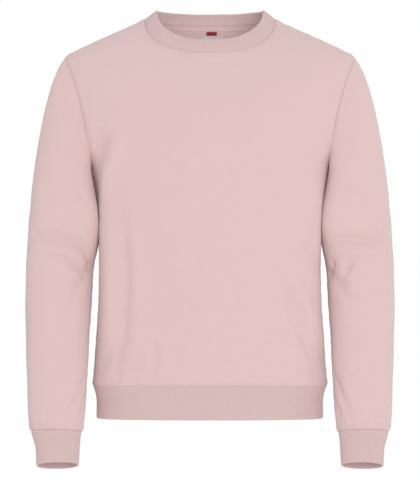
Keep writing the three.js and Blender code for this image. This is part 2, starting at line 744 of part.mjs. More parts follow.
function cuffBand(side) {
  const edge = seam.map(({ alpha }) => cuffSeam(alpha));
  const sections = [cuff.knots[1], cuff.length];
  const { outer, inner } = ribbedBand(edge, sections, RIBS_PER_COLUMN.cuff, (s, j, many) => {
    const alpha = (j / many) * 2 * Math.PI;
    return { point: cuff.point(s, alpha), normal: cuff.normalAt(s, alpha) };
  });
  if (side === "right") mirror([...outer, ...inner]);
  return bandGeometry(outer, inner);
}

// A thin strip on the inside of a wall: each lining row gives the places it lies on.
function strip(lining, gap, thick) {
  const outer = lining.map((row) =>
    row.map(({ point, normal }) => point.clone().addScaledVector(normal, -gap)),
  );
  const inner = lining.map((row) =>
    row.map(({ point, normal }) => point.clone().addScaledVector(normal, -gap - thick)),
  );
  return wallGeometry(outer, inner, false);
}

// The tape over the neck seam allowance, from shoulder to shoulder. It has an edge wherever
// it crosses an edge of the back's own facets, so that it lies flat on them.
function neckTape() {
  const last = back.inner.length - 1;
  const place = (low, high, share) => {
    const normal = back.outer[last - 1][low].clone().sub(back.inner[last - 1][low]);
    normal.lerp(back.outer[last][high].clone().sub(back.inner[last][high]), share).normalize();
    return { point: back.inner[last - 1][low].clone().lerp(back.inner[last][high], share), normal };
  };
  const rows = TAPE_EDGES.map((down) => {
    const share = 1 - down / NECK_ROW;
    const row = [];
    for (let j = 0; j < 2 * HALF_COLUMNS; j++) {
      const forward = splitsForward(back.outer, last - 1, j);
      row.push(place(j, j, share), forward ? place(j, j + 1, share) : place(j + 1, j, share));
    }
    row.push(place(2 * HALF_COLUMNS, 2 * HALF_COLUMNS, share));
    row[0].point.lerp(row[1].point, TAPE_END);
    row.at(-1).point.lerp(row.at(-2).point, TAPE_END);
    return row;
  });
  return strip(rows, SEAM_GAP, TAPE);
}

// The place on the back that lies a distance down from the neck seam at an angle.
function downFromNeck(theta, down) {
  const step = 8;
  const height = torso.point(torso.length, theta).distanceTo(torso.point(torso.length - step, theta));
  return torso.length - (down * step) / height;
}

function label({ left, width, top, height, rows }) {
  const lining = [];
  for (let i = 0; i <= rows; i++) {
    const s = downFromNeck(Math.PI, top + (height * i) / rows);
    const { half, square } = torso.at(s);
    const row = [];
    for (let k = 0; k <= LABEL_COLUMNS; k++) {
      const x = left + (width * k) / LABEL_COLUMNS;
      const theta = Math.PI - Math.asin((Math.abs(x) / half) ** (square / 2)) * Math.sign(x);
      const { normal } = torso.frame(s, theta);
      row.push({ point: torso.point(s, theta).addScaledVector(normal, -FLEECE), normal });
    }
    lining.push(row);
  }
  return strip(lining, LABEL_LIFT, LABEL);
}

const front = panelGrids("front");
const back = panelGrids("back");

const sweatshirt = new THREE.Group();
sweatshirt.name = "crewneck_sweatshirt";
sweatshirt.add(
  piece("front_panel", wallGeometry(front.outer, front.inner, false), PINK),
  piece("back_panel", wallGeometry(back.outer, back.inner, false), PINK),
  piece("sleeve_left", sleeve("left"), PINK),
  piece("sleeve_right", sleeve("right"), PINK),
  piece("collar_rib", bodyBand(collar, torso.length, RIBS_PER_COLUMN.collar), RIB_PINK),
  piece("hem_rib", bodyBand(hem, 0, RIBS_PER_COLUMN.hem), RIB_PINK),
  piece("cuff_left", cuffBand("left"), RIB_PINK),
  piece("cuff_right", cuffBand("right"), RIB_PINK),
  piece("neck_tape", neckTape(), TAPE_PINK),
  piece("label_tab", label(TAB), RED),
  piece("size_label", label(SIZE_LABEL), PALE_GREY),
);

export default sweatshirt;
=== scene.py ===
# %% [markdown]
# # A crewneck sweatshirt, filled out with nobody in it
# The real garment is cut from brushed sweatshirt knit: a front, a back and two sleeves, with
# doubled rib at the neck, the hem and the wrists. This lesson makes each sewn piece as a thin
# shell of cloth, in the hollow shape that a worn sweatshirt has.
#
# Cloth could be hung by a simulation, but a garment with no body in it would fall flat. So the
# shape comes from measured sections, and the creases are placed one by one, as a sculptor would.

# %% Load the frame
import math

import bpy
import numpy as np
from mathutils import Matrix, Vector


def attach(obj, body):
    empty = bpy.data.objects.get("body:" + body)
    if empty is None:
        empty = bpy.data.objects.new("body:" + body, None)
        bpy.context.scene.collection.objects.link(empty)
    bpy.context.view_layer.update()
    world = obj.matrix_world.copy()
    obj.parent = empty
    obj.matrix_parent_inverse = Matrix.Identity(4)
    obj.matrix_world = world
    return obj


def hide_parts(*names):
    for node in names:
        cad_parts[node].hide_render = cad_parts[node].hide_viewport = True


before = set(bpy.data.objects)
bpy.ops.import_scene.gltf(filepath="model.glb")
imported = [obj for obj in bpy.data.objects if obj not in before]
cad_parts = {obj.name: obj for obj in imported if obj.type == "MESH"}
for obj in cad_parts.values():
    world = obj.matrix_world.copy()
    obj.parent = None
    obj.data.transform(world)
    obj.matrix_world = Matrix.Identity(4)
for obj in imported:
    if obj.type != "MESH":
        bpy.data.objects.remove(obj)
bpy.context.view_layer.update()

# %% [markdown]
# ## Sections of the garment
# A pattern maker measures a garment round the chest, the waist and the hem. These tables do
# the same for the filled shape, in millimetres. +X is the wearer's left, -Y the front, +Z up.
# A row is one loop round the body or the sleeve, and a smooth curve joins the rows.

# %% Tables of sections
MM = 0.001
FLEECE = 2.0  # wall of the brushed sweatshirt knit
RIB = 3.0  # wall of the doubled rib
SEAM_GAP = 0.05  # between two pieces that are sewn together, drawn shut by the thread
SIDE = math.pi / 2  # angle of the side, from 0 at centre front to pi at centre back

# heights at the side, centre front and centre back; reach to the side, the front and the back;
# how full the loop is, with 2 for an ellipse; how late its height turns towards each centre
BODY_KEYS = ("side", "front", "back", "half", "fore", "aft", "square", "drop_fore", "drop_aft")
TORSO = [
    (-625, -621, -621, 201.3, 99, 94, 2.5, 2, 2),  # hem seam
    (-566, -566, -566, 197, 102, 93, 2.6, 2, 2),
    (-480, -480, -480, 191.5, 105, 89, 2.7, 2, 2),  # waist
    (-400, -400, -400, 190.5, 109, 90, 2.85, 2, 2),
    (-340, -340, -340, 193, 114, 95, 3, 2, 2),
    (-290, -290, -290, 197.5, 118, 100, 2.8, 2, 2),
    (-250, -252, -250, 206, 119, 104, 2.5, 2, 2),  # armpit
    (-220, -226, -221, 218, 118.5, 106, 2.45, 2, 2),
    (-185, -198, -189, 230, 115.5, 107, 2.5, 2, 2),
    (-145, -169, -156, 239, 109.5, 106, 2.55, 2, 2),
    (-100, -140, -122, 243.5, 101.5, 103, 2.6, 2, 2),
    (-58.2, -114, -87, 242.6, 91.5, 97, 2.65, 2, 2),  # shoulder tip
    (-52.2, -109, -80, 231, 89.5, 95, 2.7, 1.95, 1.95),
    (-32.7, -93, -54, 190, 83, 87.5, 2.75, 1.75, 1.75),
    (-13.8, -76, -25.5, 148, 75, 79.5, 2.65, 1.35, 2),
    (3.2, -58.5, -2, 112, 66, 72, 2.5, 0.87, 3),  # neck seam
]
ARMPIT_ROW, TIP_ROW = 6, 11
COLLAR = [
    (3.2, -58.5, -2, 112, 66, 72, 2.5, 0.87, 3),
    (9.8, -47.1, 7.3, 103, 62.5, 69.8, 2.45, 0.93, 3.5),
    (19.1, -35.2, 16.8, 91.8, 57, 66, 2.35, 1, 5),
]
HEM = [
    (-625, -621, -621, 201.3, 99, 94, 2.5, 2, 2),
    (-640, -636, -636, 195.7, 95, 90, 2.45, 2, 2),
    (-682.4, -681, -681, 194.6, 94, 89, 2.4, 2, 2),
]
# centre of the loop; reach from side to side and from front to back; how full the loop is
# on the outside and on the side next to the body
LIMB_KEYS = ("x", "y", "z", "across", "deep", "square", "inner")
SLEEVE = [
    (249.9, 3, -300, 57.6, 68, 2.4, 2.6),
    (248.3, 6, -340, 62.6, 66, 2.5, 3),
    (252.3, 7, -377, 61.1, 64, 2.5, 2.9),  # elbow
    (257.1, 5, -411, 58.3, 61.5, 2.45, 2.7),
    (260, -4, -470, 57.2, 58, 2.45, 2.5),
    (260.7, -22, -550, 54, 54, 2.4, 2.4),
    (260.9, -41, -620, 50.8, 50, 2.35, 2.35),
    (260.6, -53, -665, 48.4, 46, 2.3, 2.3),
    (260.4, -58, -687, 46.4, 42.5, 2.25, 2.25),
    (260.5, -60.5, -701.5, 43, 37.5, 2.15, 2.15),  # cuff seam
]
CUFF = [
    (260.5, -60.5, -701.5, 43, 37.5, 2.15, 2.15),
    (258.7, -64, -717, 38.7, 31, 2.1, 2.1),
    (257.6, -76, -758.6, 35.3, 29.5, 2.1, 2.1),
]
print("torso", len(TORSO), "sleeve", len(SLEEVE), "sections")


# %% [markdown]
# ## From sections to a form
# A loft joins the sections with one smooth curve for each measurement. Blender can bridge
# loops, but then a crease or a stitch can't be placed at an exact distance from a seam. So the
# form is a function here: give it a distance along the garment and an angle round it, and it
# gives the point.

# %% A loft that can be asked for any point
class Form:
    """Sections joined by smooth curves, read at any distance s along them."""

    def __init__(self, keys, rows, step):
        self.keys = keys
        self.rows = np.array(rows, float)
        named = [dict(zip(keys, row)) for row in self.rows]
        steps = [step(a, b) for a, b in zip(named, named[1:])]
        self.knots = np.concatenate([[0], np.cumsum(steps)])
        self.length = self.knots[-1]
        span = np.diff(self.knots)[:, None]
        slope = np.diff(self.rows, axis=0) / span
        inner = (slope[:-1] * span[1:] + slope[1:] * span[:-1]) / (span[:-1] + span[1:])
        self.slopes = np.vstack([slope[:1], inner, slope[-1:]])

    def read(self, s):
        s = np.asarray(s, float)
        i = np.clip(np.searchsorted(self.knots, s, side="right") - 1, 0, len(self.knots) - 2)
        span = (self.knots[i + 1] - self.knots[i])[..., None]
        t = (s - self.knots[i])[..., None] / span
        row = (2 * t**3 - 3 * t**2 + 1) * self.rows[i] + (t**3 - 2 * t**2 + t) * span * self.slopes[i]
        row += (3 * t**2 - 2 * t**3) * self.rows[i + 1] + (t**3 - t**2) * span * self.slopes[i + 1]
        return dict(zip(self.keys, np.moveaxis(row, -1, 0)))

    def normal(self, s, angle):
        """The direction that points out of the form."""
        turn, step = 0.01, 0.5
        low = np.clip(np.asarray(s, float) - step, 0, self.length)
        high = np.clip(np.asarray(s, float) + step, 0, self.length)
        around = self.point(s, angle + turn) - self.point(s, angle - turn)
        along = self.point(high, angle) - self.point(low, angle)
        return unit(np.cross(around, along)) * self.outward


def unit(v):
    return v / np.maximum(np.linalg.norm(v, axis=-1, keepdims=True), 1e-12)


def mix(a, b, share):
    return a + (b - a) * share


def lengths_along(line):
    """The distance of each point of a line from the first, along the line."""
    return np.concatenate([[0], np.cumsum(np.linalg.norm(np.diff(line, axis=0), axis=1))])


def smooth(x, low, high):
    t = np.clip((x - low) / (high - low), 0, 1)
    return t * t * (3 - 2 * t)


class BodyForm(Form):
    """Loops round the body, the collar or the hem: fuller than an ellipse, and tilted."""

    def __init__(self, rows, outward):
        def step(a, b):
            side = math.hypot(b["half"] - a["half"], b["side"] - a["side"])
            centre = math.hypot(b["fore"] - a["fore"], b["front"] - a["front"])
            return (side + centre) / 2

        super().__init__(BODY_KEYS, rows, step)
        self.outward = outward

    def point(self, s, theta):
        row = self.read(s)
        power = 2 / row["square"]
        facing, across = np.cos(theta), np.sin(theta)
        reach = np.abs(facing) ** power
        centre = np.where(facing > 0, row["front"], row["back"])
        x = row["half"] * np.sign(across) * np.abs(across) ** power
        y = np.where(facing > 0, -row["fore"], row["aft"]) * reach
        drop = np.where(facing > 0, row["drop_fore"], row["drop_aft"])
        z = row["side"] + (centre - row["side"]) * np.abs(facing) ** drop
        return np.stack(np.broadcast_arrays(x, y, z), -1)


class LimbForm(Form):
    """Loops round the arm: 0 is the underarm, 90 degrees the front, 180 the outside."""

    outward = 1

    def __init__(self, rows):
        def step(a, b):
            return math.dist([a[key] for key in "xyz"], [b[key] for key in "xyz"])

        super().__init__(LIMB_KEYS, rows, step)

    def centre(self, s):
        row = self.read(s)
        return np.stack([row["x"], row["y"], row["z"]], -1)

    def direction(self, s):
        s = np.asarray(s, float)
        ahead, behind = np.clip(s + 1, 0, self.length), np.clip(s - 1, 0, self.length)
        return unit(self.centre(ahead) - self.centre(behind))

    def point(self, s, alpha):
        s, alpha = np.broadcast_arrays(np.asarray(s, float), np.asarray(alpha, float))
        row = self.read(s)
        along = self.direction(s)
        back = unit(np.array([0.0, 1.0, 0.0]) - along * along[..., 1:2])
        out = np.cross(along, back)
        out = unit(out * np.sign(out[..., :1]))
        inward, forward = np.cos(alpha), np.sin(alpha)
        power = 2 / np.where(inward > 0, row["inner"], row["square"])
        across = (row["across"] * np.sign(inward) * np.abs(inward) ** power)[..., None]
        deep = (row["deep"] * np.sign(forward) * np.abs(forward) ** power)[..., None]
        return self.centre(s) - out * across - back * deep

    def normal(self, s, alpha):
        turn = 0.01
        around = self.point(s, alpha + turn) - self.point(s, alpha - turn)
        return unit(np.cross(self.direction(s), around))


torso = BodyForm(TORSO, 1)
collar = BodyForm(COLLAR, 1)
hem = BodyForm(HEM, -1)
sleeve_tube = LimbForm(SLEEVE)
cuff = LimbForm(CUFF)
ARMPIT, TIP = torso.knots[ARMPIT_ROW], torso.knots[TIP_ROW]
print("hem seam to neck seam", round(torso.length), "mm; cap to cuff seam", round(sleeve_tube.length), "mm")


# %% [markdown]
# ## Where the seams run
# The armhole is the seam that shapes a set-in sleeve. It starts under the arm, swings in over
# the chest, climbs to the shoulder tip and comes down the back. The side and shoulder seams
# are simply where the front and the back meet at the sides.

# %% The armhole and the other seams
ARMHOLE_REACH = {"front": math.radians(27), "back": math.radians(25)}
ARMHOLE_ROUND = 1.25
CENTRE = {"front": 0, "back": math.pi}  # angle of the middle of each panel
FINE = 481  # points on a curve whose length is measured
# points on the lines that stand for the seams
SEAM_POINTS = {"armhole": 110, "rib": 200, "side": 120, "shoulder": 60, "tape": 400}


def even_steps(curve, start, stop, steps):
    """The values from start to stop that cut a curve into equal lengths."""
    fine = np.linspace(start, stop, FINE)
    length = lengths_along(curve(fine))
    return np.interp(np.linspace(0, length[-1], steps + 1), length, fine)


def armhole_site(half, psi):
    """psi runs from 0 at the armpit to pi at the shoulder tip."""
    s = mix(ARMPIT, TIP, (1 - np.cos(psi)) / 2)
    reach = ARMHOLE_REACH[half] * np.sin(np.clip(psi, 0, math.pi)) ** ARMHOLE_ROUND
    return s, (SIDE - reach if half == "front" else SIDE + reach)


def armhole_steps(half, steps):
    return even_steps(lambda psi: torso.point(*armhole_site(half, psi)), 0, math.pi, steps)


def armhole_line(half):
    return torso.point(*armhole_site(half, armhole_steps(half, SEAM_POINTS["armhole"])))


def level_line(s, start, stop, points):
    """A seam round the body at one s, between two angles."""
    return torso.point(np.full(points, float(s)), np.linspace(start, stop, points))


def side_line(start, stop, points):
    """A seam at the side or on the shoulder, between two values of s."""
    return torso.point(np.linspace(start, stop, points), np.full(points, SIDE))


armhole_length = sum(lengths_along(armhole_line(half))[-1] for half in ARMHOLE_REACH)
print("armhole", round(armhole_length), "mm round")


# %% [markdown]
# ## Creases
# A worn sweatshirt has few folds: soft pulls at the armpits, long troughs down the sides, a
# nest of creases at each elbow and small gathers where the rib draws the cloth in. Each crease
# here is a line on the front view with a width and a depth. Its depth dies away at both ends,
# so no crease looks like a groove cut with a tool.

# %% Lines of creases
CREASE_ENDS = 0.35  # depth of a crease at its ends, as a share of that at its middle
CREASE_DEPTH = 1.7  # deepens every crease of the tables, so that it shows in flat light


def crease_height(creases, across, height):
    """How far the creases move each place out of the cloth, in mm."""
    moved = np.zeros(np.shape(across))
    for line, wide, deep, *lean in creases:
        line = np.array(line, float)
        best = np.full(np.shape(across), np.inf)
        where = np.zeros(np.shape(across))
        turned = np.zeros(np.shape(across))
        lengths = np.linalg.norm(np.diff(line, axis=0), axis=1)
        before = 0.0
        for a, b, length in zip(line, line[1:], lengths):
            dx, dz = (b - a) / length
            px, pz = across - a[0], height - a[1]
            t = np.clip(px * dx + pz * dz, 0, length)
            away = np.hypot(px - t * dx, pz - t * dz)
            nearer = away < best
            best = np.where(nearer, away, best)
            where = np.where(nearer, (before + t) / lengths.sum(), where)
            turned = np.where(nearer, px * dz - pz * dx, turned)
            before += length
        taper = mix(CREASE_ENDS, 1, np.sin(np.pi * where))
        width = wide * (1 + (lean[0] if lean else 0) * np.tanh(turned / wide))
        moved += CREASE_DEPTH * deep * taper * np.exp(-((best / width) ** 2))
    return moved


def ripple(place, waves, loop=None):
    """A sum of soft waves, each with its length, height and start. On a closed loop the lengths
    are rounded to whole parts of it, so that the waves meet."""
    total = 0
    for long, high, start in waves:
        fitting = loop / round(loop / long) if loop else long
        total = total + high * np.sin(2 * np.pi * place / fitting + start)
    return total


# each crease: its line as places across and heights, its width, its height, with less than zero
# for a trough, and for some how far it leans to one side
FRONT_CREASES = [
    ([(-153, -196), (-166, -250), (-182, -318)], 14, 5.5),
    ([(-186, -186), (-190, -240)], 14, -4.5),
    ([(-196, -240), (-190, -330)], 13, -3.5),
    ([(-153, -325), (-145, -427), (-149, -528), (-162, -598)], 15, -6.0, 0.25),
    ([(-170, -350), (-168, -440), (-176, -545)], 12, 4),
    ([(-176, -560), (-184, -600)], 9, -2.0),
    ([(-125, -340), (-120, -470), (-128, -570)], 15, 2.0),
    ([(-90, -540), (-93, -612)], 7.5, -3.2),
    ([(-106, -560), (-108, -610)], 8, 1.2),
    ([(-72, -575), (-74, -614)], 8, 1.0),
    ([(157, -215), (168, -270), (176, -330)], 15, 3.5),
    ([(156, -362), (180, -410), (186, -440)], 8, -2.6),
    ([(108, -432), (146, -505), (180, -588)], 12, -5.4, -0.25),
    ([(126, -418), (160, -480), (188, -548)], 10, 3.2),
    ([(122, -520), (150, -580)], 8, -1.8),
    ([(186, -596), (168, -606)], 6, -2.4),
    ([(-60, -140), (-128, -176)], 26, -1.0),
    ([(64, -142), (128, -172)], 26, -0.8),
]
BACK_CREASES = [
    ([(-150, -215), (-166, -270), (-176, -330)], 15, 4),
    ([(-120, -400), (-150, -480), (-172, -560)], 12, -5.0, 0.2),
    ([(-40, -470), (-52, -540), (-64, -606)], 14, -4),
    ([(-92, -520), (-102, -600)], 10, 1.8),
    ([(48, -440), (56, -520), (66, -604)], 13, -4.5, -0.2),
    ([(16, -540), (18, -608)], 9, -1.6),
    ([(132, -380), (156, -470), (174, -548)], 12, -4.4),
    ([(110, -430), (136, -520)], 12, 2.2),
    ([(150, -215), (168, -275), (178, -335)], 15, 4.5),
    ([(-110, -150), (-60, -200)], 24, -1.4),
    ([(104, -155), (58, -205)], 24, -1.2),
]
BODY_CREASES = {"front": FRONT_CREASES, "back": BACK_CREASES}
print({half: len(creases) for half, creases in BODY_CREASES.items()}, "creases")

# %% [markdown]
# ## Seams that look sewn
# A seam in thick knit is never a drawn line. Both edges turn down into it, the allowance behind
# makes a low raised band beside it, and each row of stitches bites a small groove into the
# band. The thread pulls unevenly, so the band puckers. The seam is therefore a height that
# depends on the distance from it, and it is read by every piece that touches it.

# %% Heights beside a seam
STITCH_ROWS = (3.4, 9.4)  # from the rib's seam to its two rows of stitches
ARMHOLE_ROW = 2.6
# distances from a seam at which the cloth has a line of points, closest together at the seam
SEAM_STEPS = np.array([0, 0.5, 1.1, 1.8, 2.6, 3.4, 4.3, 5.4, 6.6, 7.7, 8.6, 9.4, 10.3, 11.6, 13.4, 16.0])
# puckers beside each kind of seam: the length, height and start of each wave, and their reach
RIB_PUCKERS = ([(7.1, 0.12, 0.3), (11.3, 0.14, 1.9), (17.9, 0.16, 4.0), (41.0, 0.12, 2.2)], 13)
ARMHOLE_PUCKERS = ([(8.3, 0.10, 1.0), (13.7, 0.12, 2.6), (23.0, 0.12, 0.4)], 10)
PLAIN_PUCKERS = ([(19.0, 0.16, 0.7), (31.0, 0.2, 3.1)], 12)
PUCKER_START = 2  # from the seam to where the puckers are whole


def bell(away, high, wide):
    """A soft ridge along a line, or a groove where its height is less than zero."""
    return high * np.exp(-((away / wide) ** 2))


def raised(away, high, rise, fall):
    """A low band, with the distances between which it rises and falls."""
    return high * smooth(away, *rise) * (1 - smooth(away, *fall))


def puckered(away, along, waves, reach, loop=None):
    return ripple(along, waves, loop) * smooth(away, 0, PUCKER_START) * bell(away, high=1, wide=reach)


def rib_seam_height(away, along, loop=None):
    """Cloth beside a rib: turned down at the seam, raised over its allowance, stitched twice."""
    high = bell(away, high=-0.3, wide=1.2) + raised(away, high=0.9, rise=(0.6, 2.6), fall=(9.4, 13.5))
    for row in STITCH_ROWS:
        high += bell(away - row, high=-0.6, wide=1.0)
    return high + puckered(away, along, *RIB_PUCKERS, loop)


def armhole_height(away, along):
    """Cloth beside the armhole: a groove with a stitched ridge on each side."""
    high = bell(away, high=-0.2, wide=1.2) + raised(away, high=0.45, rise=(0.5, 2.4), fall=(3.6, 8.0))
    high += bell(away - ARMHOLE_ROW, high=-0.3, wide=0.7)
    return high + puckered(away, along, *ARMHOLE_PUCKERS)


def plain_seam_height(away, along):
    """A side, shoulder or underarm seam: pressed open inside, a shallow groove outside."""
    allowance = 4  # from the seam to the middle of each pressed edge
    high = bell(away, high=-0.45, wide=1.1) + bell(away - allowance, high=0.18, wide=3)
    return high + puckered(away, along, *PLAIN_PUCKERS)


def beside(points, line, far=30.0):
    """The distance from a seam's line, and how far along the line each point is."""
    away = np.full(points.shape[:-1], far)
    along = np.zeros(points.shape[:-1])
    near = np.all((points > line.min(0) - far) & (points < line.max(0) + far), axis=-1)
    inside = points[near]
    best = np.full(len(inside), far)
    place = np.zeros(len(inside))
    before = 0.0
    for a, b in zip(line, line[1:]):
        length = np.linalg.norm(b - a)
        way = (b - a) / length
        t = np.clip((inside - a) @ way, 0, length)
        distance = np.linalg.norm(inside - a - t[:, None] * way, axis=1)
        nearer = distance < best
        best = np.where(nearer, distance, best)
        place = np.where(nearer, before + t, place)
        before += length
    away[near] = best
    along[near] = place
    return away, along


print("stitch rows at", STITCH_ROWS, "mm from a rib,", ARMHOLE_ROW, "mm from the armhole")


# %% [markdown]
# ## The front and the back as grids
# Each panel is a grid whose rows run from side to side. The rows bend so that they end on the
# armhole, and the columns crowd together beside the seams, where the stitched band needs fine
# steps. A grid like this keeps the knit's direction, which a remesh would lose.

# %% Places on the front and the back
CELL = 3.9  # usual size of a cell of cloth
HALF_COLUMNS = 64  # from centre to the last column before the seam's own
ARMHOLE_ROWS = 60
YOKE_ROWS = 30
MIRROR = {"left": np.array([1.0, 1.0, 1.0]), "right": np.array([-1.0, 1.0, 1.0])}
FOLD_FADE = 0.12  # share of a panel over which creases die out at its sides
FOLD_START = 40  # distance above the hem seam over which they begin
GATHER_START = 5  # and over which the hem's gathers begin
# long soft waves of the front and the back: length, height and start, and how they slant
WAVES_ACROSS, SLANT_ACROSS = [(173, 0.35, 0.4), (97, 0.2, 2.0)], 0.35
WAVES_UP, SLANT_UP = [(211, 0.4, 1.1), (83, 0.15, 0.2)], 0.2


def neck_step(theta):
    """Distance on the cloth for one unit of s at the neck seam."""
    seam, below = torso.point(torso.length, theta), torso.point(torso.length - 1, theta)
    return np.linalg.norm(seam - below, axis=-1)


def below_neck(theta, down):
    return torso.length - (down + SEAM_GAP / 2) / neck_step(theta)


def panel_rows(half):
    """For each row, the s that it has at an angle, and the angle at which it ends."""
    middle = CENTRE[half]
    rows = [(lambda theta, s=s: np.full(np.shape(theta), s), SIDE) for s in SEAM_GAP / 2 + SEAM_STEPS]
    skirt = round((ARMPIT - SEAM_STEPS[-1]) / CELL)
    for s in np.linspace(SEAM_STEPS[-1], ARMPIT, skirt + 1)[1:]:
        rows.append((lambda theta, s=s: np.full(np.shape(theta), s), SIDE))
    for j, psi in enumerate(armhole_steps(half, ARMHOLE_ROWS)[1:], 1):
        s_end, edge = armhole_site(half, psi)
        s_middle = mix(ARMPIT, TIP, j / ARMHOLE_ROWS)

        def bent(theta, s_middle=s_middle, s_end=s_end, edge=edge):
            return mix(s_middle, s_end, ((theta - middle) / (edge - middle)) ** 2)

        rows.append((bent, edge))
    for j in range(1, YOKE_ROWS):
        rows.append((lambda theta, w=j / YOKE_ROWS: mix(TIP, below_neck(theta, SEAM_STEPS[-1]), w), SIDE))
    for down in SEAM_STEPS[::-1]:
        rows.append((lambda theta, down=down: below_neck(theta, down), SIDE))
    return rows


def panel_places(half):
    """The grid of the panel's +X half: s, angle and distance from the centre line."""
    middle = CENTRE[half]
    every_s, every_theta, every_across = [], [], []
    for s_of, edge in panel_rows(half):
        fine = np.linspace(middle, edge, FINE)
        length = lengths_along(torso.point(s_of(fine), fine))
        end = length[-1] - SEAM_GAP / 2
        inner = np.linspace(0, end - SEAM_STEPS[-1], HALF_COLUMNS + 1)
        across = np.concatenate([inner, end - SEAM_STEPS[-2::-1]])
        theta = np.interp(across, length, fine)
        every_s.append(s_of(theta))
        every_theta.append(theta)
        every_across.append(across)
    return np.array(every_s), np.array(every_theta), np.array(every_across)


def gathers(x, above, spots):
    """Small upright puckers where the shorter rib draws the cloth in."""
    moved = 0
    for place, wide, deep, tall in spots:
        moved = moved + bell(x - place, deep, wide) * bell(above, 1, tall)
    return moved * smooth(above, 0, GATHER_START)


# each gather: its place across, its width, its height and how far up it reaches
HEM_GATHERS = {
    "front": [
        (-158, 6, -2.0, 26), (-147, 6, 0.8, 20), (-128, 7, -0.8, 18), (-93, 5, -1.8, 30), (-83, 5, 0.8, 20),
        (-58, 7, -0.6, 16), (-22, 8, -0.5, 18), (14, 7, -0.5, 14), (47, 8, -0.7, 18), (84, 7, -0.5, 16),
        (118, 7, -0.8, 18), (150, 6, -0.9, 20), (176, 5, -1.6, 18),
    ],
    "back": [
        (-166, 6, -1.4, 24), (-120, 7, -0.9, 20), (-66, 6, -1.6, 28), (-50, 6, 0.7, 20), (-18, 7, -0.6, 16),
        (22, 7, -0.6, 18), (66, 6, -1.7, 30), (80, 6, 0.7, 20), (112, 7, -0.7, 18), (152, 6, -1.0, 22),
        (180, 5, -1.2, 18),
    ],
}


def body_lift(half, x, z):
    """Creases and long soft waves of the front or the back."""
    waves = ripple(x + SLANT_ACROSS * z, WAVES_ACROSS) + ripple(z - SLANT_UP * x, WAVES_UP)
    return crease_height(BODY_CREASES[half], x, z) + waves


def panel_height(half, points, share, s):
    """All that lifts or sinks the front or the back from its smooth form."""
    x, z = points[..., 0], points[..., 2]
    fade = (1 - smooth(share, 1 - FOLD_FADE, 1)) * smooth(s, 0, FOLD_START)
    high = body_lift(half, x, z) * fade + gathers(x, s, HEM_GATHERS[half])
    right = np.stack([np.abs(x), points[..., 1], z], -1)
    for s_seam in (0, torso.length):
        away, along = beside(right, level_line(s_seam, CENTRE[half], SIDE, SEAM_POINTS["rib"]))
        high += rib_seam_height(away, along * np.sign(x))
    high += armhole_height(*beside(right, armhole_line(half)))
    high += plain_seam_height(*beside(right, side_line(0, ARMPIT, SEAM_POINTS["side"])))
    high += plain_seam_height(*beside(right, side_line(TIP, torso.length, SEAM_POINTS["shoulder"])))
    return high


def panel_grid(half):
    """Points of the whole panel in mm, [row, column], and their places on the flat cloth."""
    s, theta, across = panel_places(half)
    base = torso.point(s, theta)
    normal = torso.normal(s, theta)
    base = np.concatenate([base[:, :0:-1] * MIRROR["right"], base], axis=1)
    normal = np.concatenate([normal[:, :0:-1] * MIRROR["right"], normal], axis=1)
    s = np.concatenate([s[:, :0:-1], s], axis=1)
    across = np.concatenate([-across[:, :0:-1], across], axis=1)
    share = np.abs(across) / np.abs(across[:, -1:])
    up = lengths_along(base[:, base.shape[1] // 2])
    points = base + normal * panel_height(half, base, share, s)[..., None]
    chart = np.stack([across, np.broadcast_to(up[:, None], across.shape)], -1)
    return points, chart


front_grid, front_chart = panel_grid("front")
back_grid, back_chart = panel_grid("back")
print("front grid", front_grid.shape[:2], "back grid", back_grid.shape[:2])


# %% [markdown]
# ## Making cloth from a grid
# Blender's own grid primitive is the start. Its points go to the places above, its ends are
# merged where the cloth is a tube, and Solidify gives it the wall of the real knit, to the
# inside, so that the outside stays where it was measured. The UV map is the flat cloth in
# metres, and that is where the knit pattern will be drawn.

# %% Grid primitive to cloth
SAME_PLACE = 1e-6  # metres between two points that are merged
SHADED_SMOOTH = math.radians(50)  # largest turn between two faces that are shaded as one


def only(piece):
    """The one object that is selected and active."""
    bpy.ops.object.select_all(action="DESELECT")
    piece.select_set(True)
    bpy.context.view_layer.objects.active = piece


def faces_out(points, centre):
    """Whether a grid's faces look away from the centre."""
    down, right = np.gradient(points, axis=0), np.gradient(points, axis=1)
    return (np.cross(right, down) * (points - centre)).sum() > 0


def facing_out(points, chart, outward):
    """The same grid, with its columns turned round unless its faces look outward."""
    return (points, chart) if outward else (points[:, ::-1], chart[:, ::-1])


def closed(grid):
    """A tube's grid with its first column once more at its end."""
    return np.concatenate([grid, grid[:, :1]], axis=1)


def cloth(name, points, chart):
    rows, columns = points.shape[:2]
    bpy.ops.object.select_all(action="DESELECT")
    bpy.ops.mesh.primitive_grid_add(x_subdivisions=columns - 1, y_subdivisions=rows - 1, size=2)
    piece = bpy.context.object
    piece.name = piece.data.name = name
    mesh = piece.data
    start = np.empty(3 * len(mesh.vertices))
    mesh.vertices.foreach_get("co", start)
    start = start.reshape(-1, 3)
    column = np.rint((start[:, 0] + 1) / 2 * (columns - 1)).astype(int)
    row = np.rint((start[:, 1] + 1) / 2 * (rows - 1)).astype(int)
    mesh.vertices.foreach_set("co", (points[row, column] * MM).ravel())
    corner = np.empty(len(mesh.loops), int)
    mesh.loops.foreach_get("vertex_index", corner)
    mesh.uv_layers.active.data.foreach_set("uv", (chart[row, column][corner] * MM).ravel())
    mesh.update()
    return piece


def merge_ends(piece):
    only(piece)
    bpy.ops.object.mode_set(mode="EDIT")
    bpy.ops.mesh.select_all(action="SELECT")
    bpy.ops.mesh.remove_doubles(threshold=SAME_PLACE)
    bpy.ops.object.mode_set(mode="OBJECT")


